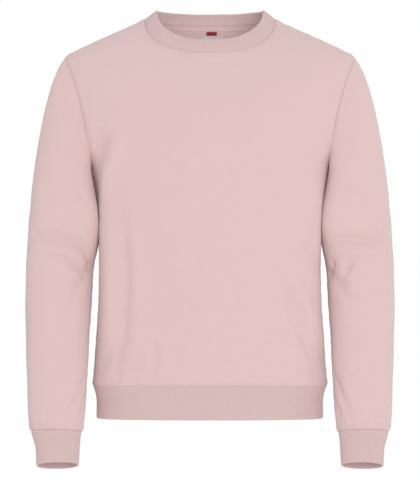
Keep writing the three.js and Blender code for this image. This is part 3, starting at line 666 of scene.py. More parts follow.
def give_wall(piece, thick, inside=0):
    """Thickness to the inside. inside is the material slot of the inner side."""
    only(piece)
    wall = piece.modifiers.new("wall", "SOLIDIFY")
    wall.thickness = thick * MM
    wall.offset = -1
    wall.material_offset = inside
    bpy.ops.object.modifier_apply(modifier=wall.name)
    bpy.ops.object.shade_smooth_by_angle(angle=SHADED_SMOOTH)


def triangles(piece):
    return sum(len(face.vertices) - 2 for face in piece.data.polygons)


front_cloth = cloth("front_cloth", front_grid, front_chart)
back_order = (slice(None), slice(None, None, -1))
back_cloth = cloth("back_cloth", back_grid[back_order], back_chart[back_order])
print("front faces out:", faces_out(front_grid, front_grid.mean((0, 1)) + [0, 150, 0]))

# %% [markdown]
# ## The sleeves
# A set-in sleeve has a rounded cap that is sewn into the armhole, and below it a tube that
# narrows to the wrist. The cap is drawn as a family of curves from each place on the armhole
# to the first whole ring of the tube. The sleeve hangs close beside the body, so its inner
# side is kept just clear of it.

# %% Places on the sleeve
SLEEVE_COLUMNS = 112
CAP_CELLS = 30
CAP_SLOPE = np.array([0.78, 0, -0.63])  # its direction at the shoulder tip
CAP_LIFT, CAP_BULGE = 0.32, 0.3  # how far it turns out, and to the front and the back, halfway up
# how long the cap keeps its direction as it leaves the armhole and as it meets the tube
CAP_PULL = {"armpit": (0.87, 0.79), "tip": (0.58, 0.35)}
CAP_END = 2  # length of tube that gives the cap its direction where they meet
SLEEVE_CLEARANCE = 0.7  # from the hanging sleeve to the body's cloth
CLEAR_AFTER = 25  # from the armhole to where the whole clearance is kept
SIDE_SEARCH = 12  # steps in the search for the side at a height


def armhole_places(columns):
    """The armhole as a loop of places: up the front from the armpit, and down the back."""
    up = armhole_site("front", armhole_steps("front", columns // 2)[:-1])
    down = armhole_site("back", armhole_steps("back", columns // 2)[:0:-1])
    s, theta = np.concatenate([up[0], down[0]]), np.concatenate([up[1], down[1]])
    point = torso.point(s, theta)
    along = unit(np.roll(point, -1, 0) - np.roll(point, 1, 0))
    alpha = np.arange(columns) / columns * 2 * math.pi
    ring = sleeve_tube.point(np.zeros(columns), alpha)
    height = (point[:, 2] - point[0, 2]) / (point[columns // 2, 2] - point[0, 2])
    way = mix(unit(ring - point), CAP_SLOPE, smooth(height, 0, 1)[:, None])
    way[:, 0] += CAP_LIFT * np.sin(np.pi * height)
    way[:, 1] -= CAP_BULGE * np.sin(np.pi * height) * np.sign(np.sin(alpha))
    leaving = unit(way)
    body_normal = torso.normal(s, theta)
    normal = unit(body_normal + unit(np.cross(leaving, along)))
    normal = unit(normal - along * (normal * along).sum(1, keepdims=True))
    outward = unit(np.cross(along, normal))
    arriving = unit(sleeve_tube.point(np.full(columns, CAP_END), alpha) - ring)
    high = smooth(height, 0.5, 1)
    pull = [mix(low, top, high) for low, top in zip(CAP_PULL["armpit"], CAP_PULL["tip"])]
    return {
        "alpha": alpha, "point": point, "along": along, "ring": ring, "leaving": leaving,
        "body_normal": body_normal, "outward": outward, "arriving": arriving, "pull": np.array(pull),
    }


def cap_point(places, share):
    start = places["point"] + places["outward"] * SEAM_GAP / 2
    chord = np.linalg.norm(places["ring"] - start, axis=1, keepdims=True)
    t = share[:, None]
    return (
        (2 * t**3 - 3 * t**2 + 1) * start
        + (t**3 - 2 * t**2 + t) * chord * places["pull"][0][:, None] * places["leaving"]
        + (3 * t**2 - 2 * t**3) * places["ring"]
        + (t**3 - t**2) * chord * places["pull"][1][:, None] * places["arriving"]
    )


def body_side(points, sign):
    """How far out the body's cloth lies at the side, at the height and depth of each point."""
    s = np.full(points.shape[:-1], ARMPIT)
    for _ in range(SIDE_SEARCH):
        s = np.clip(s + points[..., 2] - torso.read(s)["side"], 0, ARMPIT)
    row = torso.read(s)
    depth = np.where(points[..., 1] < 0, row["fore"], row["aft"])
    inside = np.clip(1 - (np.abs(points[..., 1]) / depth) ** row["square"], 0, 1)
    smooth_side = row["half"] * inside ** (1 / row["square"])
    front = body_lift("front", sign * smooth_side, points[..., 2])
    back = body_lift("back", sign * smooth_side, points[..., 2])
    return smooth_side + np.maximum(np.where(points[..., 1] < 0, front, back), 0)


def grid_normals(points, round_tube=True):
    down = np.gradient(points, axis=0)
    around = np.roll(points, -1, 1) - np.roll(points, 1, 1) if round_tube else np.gradient(points, axis=1)
    return unit(np.cross(down, around))


armhole = armhole_places(SLEEVE_COLUMNS)
print("armhole places", len(armhole["alpha"]))

# %% [markdown]
# ### Creases of the sleeves
# Most folds of a hanging arm gather inside the elbow, because it is never quite straight. The
# tables give them by degrees round the sleeve, from the underarm over the front, and by
# height. Left and right are alike and never the same.

# %% The sleeve's grid
# each crease: its line as degrees and heights, its width, its height and, for some, its lean
SLEEVE_CREASES = {
    "right": [
        ([(44, -205), (54, -270), (52, -330), (44, -392)], 24, 6.0),
        ([(-44, -205), (-54, -270), (-52, -330), (-44, -392)], 24, 6.0),
        ([(28, -420), (60, -387), (98, -373), (143, -365)], 8.5, -6.0, -0.2),
        ([(50, -412), (92, -394), (132, -387)], 8, 3.0),
        ([(92, -405), (66, -421), (38, -432)], 6, -4.6),
        ([(62, -438), (40, -446)], 6, 1.6),
        ([(24, -431), (52, -452), (74, -468)], 13, -4.0),
        ([(12, -418), (34, -425)], 9, -4.5),
        ([(17, -606), (40, -638), (66, -668)], 8, -3.0),
        ([(10, -640), (34, -678)], 7, -2.2),
        ([(40, -612), (66, -640)], 8, 1.4),
        ([(-60, -360), (-36, -380), (-20, -404)], 11, -4),
        ([(-78, -392), (-30, -424)], 9, -3),
        ([(-95, -560), (-66, -590), (-40, -610)], 13, -3),
        ([(-120, -640), (-70, -672)], 9, -2),
        ([(54, -262), (72, -300), (104, -330)], 15, -1.6),
        ([(150, -470), (160, -560)], 18, -1.2),
        ([(80, -520), (98, -600)], 18, -1.4),
    ],
    "left": [
        ([(44, -205), (54, -270), (52, -330), (44, -392)], 24, 6.0),
        ([(-44, -205), (-54, -270), (-52, -330), (-44, -392)], 24, 6.0),
        ([(36, -384), (72, -376), (112, -378), (138, -371)], 8.5, -5.6, -0.15),
        ([(130, -360), (137, -402)], 6, -2.8),
        ([(58, -398), (92, -396), (124, -399)], 8, 2.6),
        ([(86, -406), (60, -438)], 6, -4.4),
        ([(44, -412), (30, -424)], 7, -4.2),
        ([(30, -436), (56, -456), (66, -470)], 13, -4.2),
        ([(12, -428), (28, -440)], 9, -3.4),
        ([(15, -604), (42, -640), (60, -664)], 8.5, -2.7),
        ([(12, -648), (40, -684)], 7, -2.0),
        ([(44, -608), (64, -630)], 8, 1.2),
        ([(-62, -352), (-40, -376), (-16, -396)], 12, -3.6),
        ([(-84, -404), (-34, -432)], 10, -2.7),
        ([(-90, -548), (-58, -584), (-34, -600)], 14, -2.8),
        ([(-126, -650), (-82, -676)], 9, -1.8),
        ([(50, -268), (76, -306), (98, -326)], 15, -1.2),
        ([(146, -486), (158, -574)], 18, -1.2),
    ],
}
ROUND_SCALE = 64  # mm of cloth for a turn of one radian, from the elbow's half depth
TUBE_CELL = 3.5  # length of a cell down the tube
SLEEVE_FADE = 0.94  # share of the tube below which creases die out
SLEEVE_WAVES, SLEEVE_SLANT = [(151, 0.35, 0.8), (89, 0.22, 2.9)], 0.4
WAVE_START = 60  # length of tube over which the long waves begin
# gathers above the cuff, and the distances over which they begin and die out
CUFF_WAVES = [(9.7, 0.35, 0.5), (14.3, 0.5, 2.4), (23.0, 0.55, 4.4)]
CUFF_GATHER_START, CUFF_GATHER_REACH = 5, 17


def sleeve_rows(places):
    """The smooth sleeve row by row, and how far down the tube each row lies."""
    alpha = places["alpha"]
    start = places["point"] + places["outward"] * SEAM_GAP / 2
    chord = np.linalg.norm(places["ring"] - start, axis=1)
    near = [step / (chord * places["pull"][0]) for step in SEAM_STEPS]
    cap = [mix(near[-1], 1.0, k / CAP_CELLS) for k in range(1, CAP_CELLS + 1)]
    rows = [cap_point(places, share) for share in near + cap]
    end = sleeve_tube.length - SEAM_GAP / 2
    cells = round((end - SEAM_STEPS[-1]) / TUBE_CELL)
    down = np.linspace(0, end - SEAM_STEPS[-1], cells + 1)[1:]
    down = np.concatenate([down, end - SEAM_STEPS[-2::-1]])
    rows += [sleeve_tube.point(np.full(len(alpha), s), alpha) for s in down]
    return np.array(rows), np.concatenate([np.zeros(len(near + cap)), down])[:, None]


def sleeve_height(hand, base, s, across, loop):
    """All that lifts or sinks the sleeve from its smooth form."""
    degree = math.radians(1) * ROUND_SCALE
    creases = [([(a * degree, z) for a, z in line], *rest) for line, *rest in SLEEVE_CREASES[hand]]
    last = sleeve_tube.length
    fade = 1 - smooth(s, SLEEVE_FADE * last, last)
    waves = ripple(base[..., 2] + SLEEVE_SLANT * across, SLEEVE_WAVES, SLEEVE_SLANT * loop)
    high = (crease_height(creases, across, base[..., 2]) + waves * smooth(s, 0, WAVE_START)) * fade
    seam = np.vstack([armhole["point"], armhole["point"][:1]])
    high += armhole_height(*beside(base, seam))
    to_cuff = np.broadcast_to(last - s, high.shape)
    gathered = ripple(across, CUFF_WAVES, loop) * smooth(to_cuff, 0, CUFF_GATHER_START)
    gathered = gathered * bell(to_cuff, 1, CUFF_GATHER_REACH)
    high += (rib_seam_height(to_cuff, across, loop) + gathered) * (s > 0)
    return high + plain_seam_height(*beside(base, base[:, 0]))


def sleeve_grid(hand):
    """Points of the sleeve in mm, [row, column], and their places on the flat cloth."""
    alpha = armhole["alpha"]
    base, s = sleeve_rows(armhole)
    turn = np.where(alpha > math.pi, alpha - 2 * math.pi, alpha)
    across = np.broadcast_to(turn * ROUND_SCALE, base.shape[:2])
    loop = 2 * math.pi * ROUND_SCALE
    points = base + grid_normals(base) * sleeve_height(hand, base, s, across, loop)[..., None]
    travelled = lengths_along(base.mean(1))[:, None]
    side = body_side(points, MIRROR[hand][0])
    kept = np.maximum(points[..., 0], side + SLEEVE_CLEARANCE * smooth(travelled, 0, CLEAR_AFTER))
    points[..., 0] = np.where(travelled > SEAM_STEPS[1], kept, points[..., 0])
    long = lengths_along(base[:, len(alpha) // 4])
    around = np.arange(len(alpha) + 1) / len(alpha) * loop
    chart = np.stack(np.broadcast_arrays(around[None, :], long[:, None]), -1)
    points = closed(points) * MIRROR[hand]
    return facing_out(points, chart, faces_out(points, points.mean(1, keepdims=True)))


sleeve_grids = {hand: sleeve_grid(hand) for hand in MIRROR}
sleeve_cloths = {hand: cloth(f"sleeve_cloth_{hand}", *sleeve_grids[hand]) for hand in sleeve_grids}
for piece in sleeve_cloths.values():
    merge_ends(piece)
print("sleeve grid", sleeve_grids["left"][0].shape[:2])

# %% [markdown]
# ## The ribs
# Collar, hem and cuffs are doubled bands of rib knit. Rib is knitted in columns that stand
# proud, with narrow grooves between them, so it stretches and springs back. A band is modelled
# as one closed loop in section: up the outside, over the fold, down the inside. The columns
# are real relief, because they show in the outline of the folded edge.

# %% A folded band
RIB_RELIEF = {"collar": 0.45, "hem": 0.65, "cuff": 0.7}
RIB_COUNT = {"collar": 144, "hem": 240, "cuff": 44}
POINTS_PER_RIB = {"collar": 6, "hem": 4, "cuff": 8}
FOLD_TURNS = 7  # rows of points round the folded edge
GROOVE_SHARP = 1.3  # how narrow the grooves between the columns are
INNER_RELIEF = 0.7  # of the columns on the inside, as a share of those on the outside
BAND_WAVES = [(67, 0.25, 0.3), (113, 0.3, 1.7), (31, 0.1, 2.0)]
BAND_WAVE_START = 8  # from the seam to where these waves are whole
# usual height of a cell, and how far the middle of a band stands out
BAND_CELL = {"collar": 2.4, "hem": 4.0, "cuff": 3.2}
BAND_BULGE = {"collar": 0.5, "hem": 0.6, "cuff": 0.3}
BAND_STEPS = np.array([0, 0.6, 1.3, 2.2, 3.4, 5.0, 7.0])


def ring_angles(form, s, per_quarter):
    front = even_steps(lambda t: form.point(np.full(t.shape, s), t), 0, SIDE, per_quarter)
    back = even_steps(lambda t: form.point(np.full(t.shape, s), t), math.pi, SIDE, per_quarter)
    half = np.concatenate([front, back[:-1][::-1]])
    return np.concatenate([half, 2 * math.pi - half[-2:0:-1]])


def band_distances(length, cell):
    last = length - RIB / 2
    middle = np.linspace(BAND_STEPS[-1], last, max(2, round((last - BAND_STEPS[-1]) / cell)) + 1)
    return np.concatenate([SEAM_GAP / 2 + BAND_STEPS, middle[1:]])


def folded_band(points, normals, kind):
    """The closed loop in section, from points on the outside of the band, seam row first."""
    columns = points.shape[1]
    phase = np.arange(columns) * RIB_COUNT[kind] / columns
    sunk = (RIB_RELIEF[kind] * (0.5 - 0.5 * np.cos(2 * np.pi * phase)) ** GROOVE_SHARP)[None, :, None]
    away = np.linalg.norm(points - points[0], axis=2)
    away_share = away / away[-1]
    loop = np.linalg.norm(points[0] - np.roll(points[0], 1, 0), axis=1).sum()
    place = np.arange(columns) / columns * loop
    out = BAND_BULGE[kind] * np.sin(np.pi * away_share) + bell(away, high=-0.5, wide=1.1)
    out += ripple(place, BAND_WAVES, loop) * smooth(away, 0, BAND_WAVE_START)
    outside = points + normals * (out[..., None] - sunk)
    way = unit(points[-1] - points[-2])
    way = unit(way - normals[-1] * (way * normals[-1]).sum(1, keepdims=True))
    middle = points[-1] + normals[-1] * (out[-1][:, None] - RIB / 2)
    fold = []
    for turn in np.linspace(0, math.pi, FOLD_TURNS + 2)[1:-1]:
        out_way = math.cos(turn) * normals[-1] + math.sin(turn) * way
        fold.append(middle + out_way * (RIB / 2 - sunk[0]))
    inside = (points + normals * (out[..., None] - RIB + INNER_RELIEF * sunk))[::-1]
    section = np.concatenate([outside, np.array(fold), inside])
    section = closed(np.concatenate([section, section[:1]]))
    long = lengths_along(section[:, 0])
    around = np.concatenate([place, [loop]])
    chart = np.stack(np.broadcast_arrays(around[None, :], long[:, None]), -1)
    return section, chart


def make_band(name, points, normals, kind):
    section, chart = folded_band(points, normals, kind)
    outer_rows = section[: len(BAND_STEPS)]
    piece = cloth(name, *facing_out(section, chart, faces_out(outer_rows, points.mean((0, 1)))))
    merge_ends(piece)
    only(piece)
    bpy.ops.object.shade_smooth()
    return piece


def body_band(name, form, kind):
    per_quarter = RIB_COUNT[kind] * POINTS_PER_RIB[kind] // 4
    distances = band_distances(form.length, BAND_CELL[kind])
    angles = np.array([ring_angles(form, s, per_quarter) for s in distances])
    s = np.broadcast_to(distances[:, None], angles.shape)
    return make_band(name, form.point(s, angles), form.normal(s, angles), kind)


def cuff_band(name, hand):
    """The cuff leaves the sleeve in the sleeve's own direction and bends into its own."""
    columns = RIB_COUNT["cuff"] * POINTS_PER_RIB["cuff"]
    turns = np.arange(columns) / columns * 2 * math.pi
    s, alpha = np.meshgrid(band_distances(cuff.length, BAND_CELL["cuff"]), turns, indexing="ij")
    end = np.full(s.shape, sleeve_tube.length)
    leaving = sleeve_tube.point(end, alpha) - cuff.point(np.zeros(s.shape), alpha)
    bent = smooth(s, 0, cuff.knots[1])[..., None]
    points = cuff.point(s, alpha) + leaving * (1 - bent)
    normals = unit(mix(sleeve_tube.normal(end, alpha), cuff.normal(s, alpha), bent))
    return make_band(name, points * MIRROR[hand], normals * MIRROR[hand], "cuff")


collar_band = body_band("collar_band", collar, "collar")
hem_band = body_band("hem_band", hem, "hem")
cuff_bands = {hand: cuff_band(f"cuff_band_{hand}", hand) for hand in MIRROR}
for piece in (collar_band, hem_band, *cuff_bands.values()):
    print(piece.name, triangles(piece), "triangles")

# %% [markdown]
# ## Inside the neck
# The seam of the back neck is covered by a narrow twill tape, so that it doesn't scratch. Two
# plain woven labels are sewn below it. All three lie on the inner side of the back, so their
# points are the back's own points, moved in by its wall.

# %% Tape and plain labels
TAPE_DOWN = np.array([1.0, 1.3, 1.8, 2.4, 3.6, 5.0, 6.6, 8.2, 9.2, 9.7, 10.2, 10.5])
TAPE_STITCHES = (1.8, 9.7)
TAPE, LABEL = 0.8, 0.6
TAPE_GAP, LABEL_GAP = 0.3, 0.5
TAPE_COLUMNS = 220
TAPE_SHORT = 0.03  # radians between the tape's ends and the shoulder seams
TAPE_PUFF, TAPE_WAVES = 0.12, [(37, 0.07, 0), (23, 0.05, 2)]
LABEL_CELL = 1.5
BEHIND = 400  # from a lining piece to a place behind it, from which it looks away
LABEL_LIFT = 0.5  # of the label's lower corners from the cloth
LABEL_SEAM = 0.5  # radians of the neck seam on each side of centre back, above the labels
TAB = {"left": -6, "width": 18, "top": 11.3, "height": 6.4}
SIZE_LABEL = {"left": -16, "width": 41, "top": 18.2, "height": 30}


def on_back_wall(s, theta, away, height):
    """Places at a distance from the inner side of the back."""
    normal = torso.normal(s, theta)
    return torso.point(s, theta) + normal * (height - FLEECE - away)[..., None]


def make_tape():
    start, stop = SIDE + TAPE_SHORT, 3 * SIDE - TAPE_SHORT
    theta = even_steps(lambda t: torso.point(np.full(t.shape, torso.length), t), start, stop, TAPE_COLUMNS)
    theta, down = np.meshgrid(theta, TAPE_DOWN)
    s = torso.length - down / neck_step(theta)
    neck_loop = level_line(torso.length, SIDE, 3 * SIDE, SEAM_POINTS["tape"])
    base = torso.point(s, theta)
    away, along = beside(base, neck_loop)
    stitched = sum(bell(down - row, high=0.18, wide=0.5) for row in TAPE_STITCHES)
    share = (down - TAPE_DOWN[0]) / (TAPE_DOWN[-1] - TAPE_DOWN[0])
    puffed = TAPE_PUFF * np.sin(np.pi * share) + ripple(along, TAPE_WAVES)
    points = on_back_wall(s, theta, TAPE_GAP + TAPE + puffed - stitched, rib_seam_height(away, along))
    chart = np.stack([along, down], -1)
    return points, chart


def make_label(left, width, top, height):
    columns, rows = round(width / LABEL_CELL), round(height / LABEL_CELL)
    across, up = np.linspace(left, left + width, columns + 1), np.linspace(top, top + height, rows + 1)
    x, down = np.meshgrid(across, up)
    centre_step = float(neck_step(np.array([math.pi]))[0])
    s = torso.length - down / centre_step
    row = torso.read(s)
    theta = math.pi - np.arcsin((np.abs(x) / row["half"]) ** (row["square"] / 2)) * np.sign(x)
    hang = (down - top) / height
    lifted = LABEL_LIFT * hang**2 * np.abs((x - left) / width - 0.5)
    loop = level_line(torso.length, math.pi - LABEL_SEAM, math.pi + LABEL_SEAM, SEAM_POINTS["rib"])
    wall = rib_seam_height(*beside(torso.point(s, theta), loop))
    return on_back_wall(s, theta, LABEL_GAP + LABEL + lifted, wall), np.stack([x, down], -1)


def lining_piece(name, points, chart, thick):
    behind = points.mean((0, 1)) + np.array([0, BEHIND, 0])
    piece = cloth(name, *facing_out(points, chart, faces_out(points, behind)))
    give_wall(piece, thick)
    return piece


neck_tape = lining_piece("neck_tape_twill", *make_tape(), TAPE)
red_tab = lining_piece("red_tab", *make_label(**TAB), LABEL)
pale_label = lining_piece("pale_label", *make_label(**SIZE_LABEL), LABEL)
print("tape", triangles(neck_tape), "tab", triangles(red_tab), "label", triangles(pale_label), "triangles")

# %% [markdown]
# ## Stitches
# Two needles sew a coverstitch, and the thread shows as two rows of short bars. One bar is
# modelled from a small sphere and copied along the seams. The bars follow rows of the grids,
# so they lie in the grooves that the seam's height left for them.

# %% Threads along the seams
STITCH_PITCH = 3.2
STITCH_SIZE = (1.3, 0.36, 0.3)  # half length, half width and half height
STITCH_LIFT = 0.1  # of the thread's middle from the cloth
WAY_STEP = 0.8  # to each side of a stitch, for its direction


def stitch_shape():
    bpy.ops.object.select_all(action="DESELECT")
    bpy.ops.mesh.primitive_uv_sphere_add(segments=6, ring_count=4, radius=1)
    sphere = bpy.context.object
    only(sphere)
    bpy.ops.object.mode_set(mode="EDIT")
    bpy.ops.mesh.select_all(action="SELECT")
    bpy.ops.transform.rotate(value=math.pi / 2, orient_axis="Y", center_override=(0, 0, 0))
    bpy.ops.transform.resize(value=STITCH_SIZE, center_override=(0, 0, 0))
    bpy.ops.object.mode_set(mode="OBJECT")
    bar = np.array([v.co for v in sphere.data.vertices])
    faces = [list(face.vertices) for face in sphere.data.polygons]
    bpy.data.objects.remove(sphere)
    return bar, faces


def stitch_places(line, normals):
    """Evenly spaced places on a line, with the thread's direction and the cloth's normal."""
    length = lengths_along(line)
    count = int(length[-1] / STITCH_PITCH)
    at = (np.arange(count) + 0.5) * length[-1] / count

    def read(values, where):
        return np.stack([np.interp(where, length, values[:, k]) for k in range(3)], 1)

    way = unit(read(line, at + WAY_STEP) - read(line, at - WAY_STEP))
    normal = unit(read(normals, at))
    return read(line, at), way, unit(normal - way * (normal * way).sum(1, keepdims=True))


def make_stitches(name, lines):
    bar, faces = stitch_shape()
    vertices, polygons = [], []
    for line, normals in lines:
        here, way, normal = stitch_places(line, normals)
        side = np.cross(normal, way)
        for place, a, b, c in zip(here, way, side, normal):
            first = len(vertices) * len(bar)
            vertices.append(place + c * STITCH_LIFT + bar @ np.array([a, b, c]))
            polygons += [[first + i for i in face] for face in faces]
    mesh = bpy.data.meshes.new(name)
    mesh.from_pydata((np.concatenate(vertices) * MM).tolist(), [], polygons)
    piece = bpy.data.objects.new(name, mesh)
    bpy.context.scene.collection.objects.link(piece)
    only(piece)
    bpy.ops.object.shade_smooth()
    return piece


def row_of(points, row, round_tube):
    normals = grid_normals(points[:, :-1] if round_tube else points, round_tube)
    if round_tube:
        normals = closed(normals)
    out = points[row] - points.mean((0, 1))
    outward = np.sign((normals[row] * out).sum())
    return points[row], normals[row] * outward


def armhole_body_row(hand):
    """The row of stitches on the body's side of the armhole."""
    line = armhole["point"] - armhole["outward"] * (ARMHOLE_ROW + SEAM_GAP / 2)
    normals = armhole["body_normal"]
    line = line + normals * armhole_height(np.array([ARMHOLE_ROW]), np.zeros(1))
    return [np.vstack([values, values[:1]]) * MIRROR[hand] for values in (line, normals)]


def grid_row(away):
    """Which line of points lies at a distance from a seam."""
    return int(np.argmin(np.abs(SEAM_STEPS - away)))


near_row, far_row = [grid_row(away) for away in STITCH_ROWS]
armhole_row = grid_row(ARMHOLE_ROW)
hem_stitches = make_stitches(
    "hem_stitches",
    [row_of(grid, row, False) for grid in (front_grid, back_grid) for row in (near_row, far_row)],
)
neck_stitches = make_stitches(
    "neck_stitches",
    [row_of(grid, -1 - row, False) for grid in (front_grid, back_grid) for row in (near_row, far_row)],
)
seam_stitches = {}
for hand in ("left", "right"):
    points = sleeve_grids[hand][0]
    seam_stitches[f"armhole_{hand}"] = make_stitches(
        f"armhole_stitches_{hand}", [row_of(points, armhole_row, True), armhole_body_row(hand)]
    )
    seam_stitches[f"cuff_{hand}"] = make_stitches(
        f"cuff_stitches_{hand}", [row_of(points, -1 - row, True) for row in (near_row, far_row)]
    )
print("hem stitches", triangles(hem_stitches), "neck stitches", triangles(neck_stitches), "triangles")

# %% [markdown]
# ## Finishes
# Every finish starts from the real one. Sweatshirt knit is a matte cotton jersey with a fine
# column of loops every millimetre or so, and a brushed, woolly inner side. Rib is the same
# yarn. The patterns are drawn on the UV maps, which are the flat cloth in metres, so their
# scale is real and they follow each piece round.

# %% Helpers for finishes
# the rib's pink is darker than the jersey's: partly its dye, which takes a little darker on rib, and partly
# painted shade of the grooves between its columns
JERSEY_PINK, FLEECE_PINK, RIB_DYE_AND_GROOVE_SHADE = "#e4c9c7", "#e0c6c4", "#dbc1bf"
TWILL_PINK, THREAD_PINK = "#e4ccca", "#e8cccb"
LABEL_RED, LABEL_PALE = "#a02c38", "#dcd8d6"
FLOOR_WHITE = "#f4f2f1"
SPECULAR = 0.2  # cotton has almost no gloss
DIFFUSE_ROUGH = 0.35  # spreads light as a woolly surface does, so that round forms look flatter


def linear(sheet_colour):
    """An sRGB hex colour as the linear values that the shader wants."""
    parts = [int(sheet_colour[i : i + 2], 16) / 255 for i in (1, 3, 5)]
    return [p / 12.92 if p <= 0.04045 else ((p + 0.055) / 1.055) ** 2.4 for p in parts] + [1.0]


def add(material, kind, sockets=None, **settings):
    """A node with its settings, and with each socket's value or link."""
    new = material.node_tree.nodes.new(kind)
    for key, value in settings.items():
        setattr(new, key, value)
    for key, value in (sockets or {}).items():
        if isinstance(value, bpy.types.NodeSocket):
            material.node_tree.links.new(value, new.inputs[key])
        else:
            new.inputs[key].default_value = value
    return new


def new_finish(name, rough, sheen, sheen_rough):
    material = bpy.data.materials.new(name)
    material.use_nodes = True
    shader = material.node_tree.nodes["Principled BSDF"]
    shader.inputs["Roughness"].default_value = rough
    shader.inputs["Specular IOR Level"].default_value = SPECULAR
    shader.inputs["Diffuse Roughness"].default_value = DIFFUSE_ROUGH
    shader.inputs["Sheen Weight"].default_value = sheen
    shader.inputs["Sheen Roughness"].default_value = sheen_rough
    return material, shader


def cloth_axes(material, across_mm, along_mm):
    """The flat cloth's two coordinates, counted in pattern repeats."""
    chart = add(material, "ShaderNodeUVMap")
    scale = (1000 / across_mm, 1000 / along_mm, 1)
    scaled = add(material, "ShaderNodeMapping", {"Vector": chart.outputs["UV"], "Scale": scale})
    axes = add(material, "ShaderNodeSeparateXYZ", {"Vector": scaled.outputs["Vector"]})
    return axes.outputs["X"], axes.outputs["Y"]


def mottled(material, colour, amount, size_mm):
    """The colour with the soft unevenness that dyed cotton has."""
    place = add(material, "ShaderNodeTexCoord")
    cloud = add(
        material, "ShaderNodeTexNoise",
        {"Vector": place.outputs["Object"], "Scale": 1000 / size_mm, "Detail": 4.0, "Roughness": 0.6},
    )
    dark = [c * (1 - amount) for c in linear(colour)[:3]] + [1]
    light = [min(1, c * (1 + amount)) for c in linear(colour)[:3]] + [1]
    ramp = add(material, "ShaderNodeMix", {"Factor": cloud.outputs["Fac"]}, data_type="RGBA")
    ramp.inputs[6].default_value = dark
    ramp.inputs[7].default_value = light
    return ramp.outputs[2]


def put_on(material, shader, height, strength, relief_mm, colour):
    """A pattern's height as a bump, and the colour under it."""
    bump = add(
        material, "ShaderNodeBump", {"Height": height, "Strength": strength, "Distance": relief_mm * MM}
    )
    links = material.node_tree.links
    links.new(bump.outputs["Normal"], shader.inputs["Normal"])
    links.new(colour, shader.inputs["Base Color"])
    return material


print("the jersey's pink in linear values", [round(c, 3) for c in linear(JERSEY_PINK)])

# %% [markdown]
# ### Jersey face and brushed back
# On the outside each loop of yarn shows as one half of a V, in columns about 1.1 mm apart with
# a loop every 0.9 mm. From two metres away that is only a soft grain, so the bump is shallow.
# Inside, the yarn is brushed into a pile, which scatters light at its edge like down.

# %% Knit finishes
LEG_SLANT = 1.3  # how steeply the two legs of a loop run
LEG_SHARE = 0.35  # height of the legs against that of the columns
FUZZ_SHARE = 0.9  # height of the loose fibres against that of the columns


def knit_face(name, colour, wale_mm, course_mm, relief_mm, sheen):
    material, shader = new_finish(name, 0.92, sheen, 0.45)
    wale, course = cloth_axes(material, wale_mm, course_mm)
    half = add(material, "ShaderNodeMath", {0: wale, 1: 0.5}, operation="PINGPONG").outputs[0]
    leg = add(material, "ShaderNodeMath", {0: half, 1: LEG_SLANT, 2: course}, operation="MULTIPLY_ADD")
    turns = add(material, "ShaderNodeMath", {0: leg.outputs[0], 1: 2 * math.pi}, operation="MULTIPLY")
    loops = add(material, "ShaderNodeMath", {0: turns.outputs[0]}, operation="SINE").outputs[0]
    rounded = add(material, "ShaderNodeMath", {0: half, 1: math.pi}, operation="MULTIPLY")
    column = add(material, "ShaderNodeMath", {0: rounded.outputs[0]}, operation="SINE").outputs[0]
    yarn = add(material, "ShaderNodeMath", {0: loops, 1: LEG_SHARE, 2: column}, operation="MULTIPLY_ADD")
    place = add(material, "ShaderNodeTexCoord")
    fuzz = add(
        material, "ShaderNodeTexNoise",
        {"Vector": place.outputs["Object"], "Scale": 900.0, "Detail": 3.0, "Roughness": 0.7},
    )
    woolly = add(
        material, "ShaderNodeMath", {0: fuzz.outputs["Fac"], 1: FUZZ_SHARE, 2: yarn.outputs[0]},
        operation="MULTIPLY_ADD",
    )
    return put_on(material, shader, woolly.outputs[0], 0.5, relief_mm, mottled(material, colour, 0.022, 14))


def brushed_back(name, colour):
    material, shader = new_finish(name, 1.0, 0.35, 0.6)
    place = add(material, "ShaderNodeTexCoord")
    tufts = add(
        material, "ShaderNodeTexNoise",
        {"Vector": place.outputs["Object"], "Scale": 420.0, "Detail": 5.0, "Roughness": 0.75},
    )
    return put_on(material, shader, tufts.outputs["Fac"], 0.7, 0.6, mottled(material, colour, 0.05, 5))


jersey = knit_face("cotton_jersey_face", JERSEY_PINK, wale_mm=1.1, course_mm=0.9, relief_mm=0.22, sheen=0.35)
fleece_inside = brushed_back("brushed_fleece_inside", FLEECE_PINK)
rib_knit = knit_face("cotton_rib_knit", RIB_DYE_AND_GROOVE_SHADE, wale_mm=1.35, course_mm=0.9, relief_mm=0.25, sheen=0.3)
print("knit finishes:", jersey.name, fleece_inside.name, rib_knit.name)

# %% [markdown]
# ### Tape, thread and labels
# Herringbone twill tape is woven in slanting ridges that change direction. Polyester thread
# is smoother than the cotton round it and catches a little more light. A woven label is satin:
# fine threads side by side, with a soft gloss.

# %% Woven finishes
def woven(name, colour, thread_mm, slant, rough, sheen, mirrored=0.0):
    """Slanting ridges, which change direction every so many mm where mirrored says so."""
    material, shader = new_finish(name, rough, sheen, 0.3)
    across, along = cloth_axes(material, thread_mm, thread_mm)
    if mirrored:
        stripe = {0: across, 1: mirrored / thread_mm}
        across = add(material, "ShaderNodeMath", stripe, operation="PINGPONG").outputs[0]
    slanting = add(material, "ShaderNodeMath", {0: across, 1: slant, 2: along}, operation="MULTIPLY_ADD")
    turns = add(material, "ShaderNodeMath", {0: slanting.outputs[0], 1: 2 * math.pi}, operation="MULTIPLY")
    ridge = add(material, "ShaderNodeMath", {0: turns.outputs[0]}, operation="SINE")
    return put_on(material, shader, ridge.outputs[0], 0.6, 0.1, mottled(material, colour, 0.03, 3))


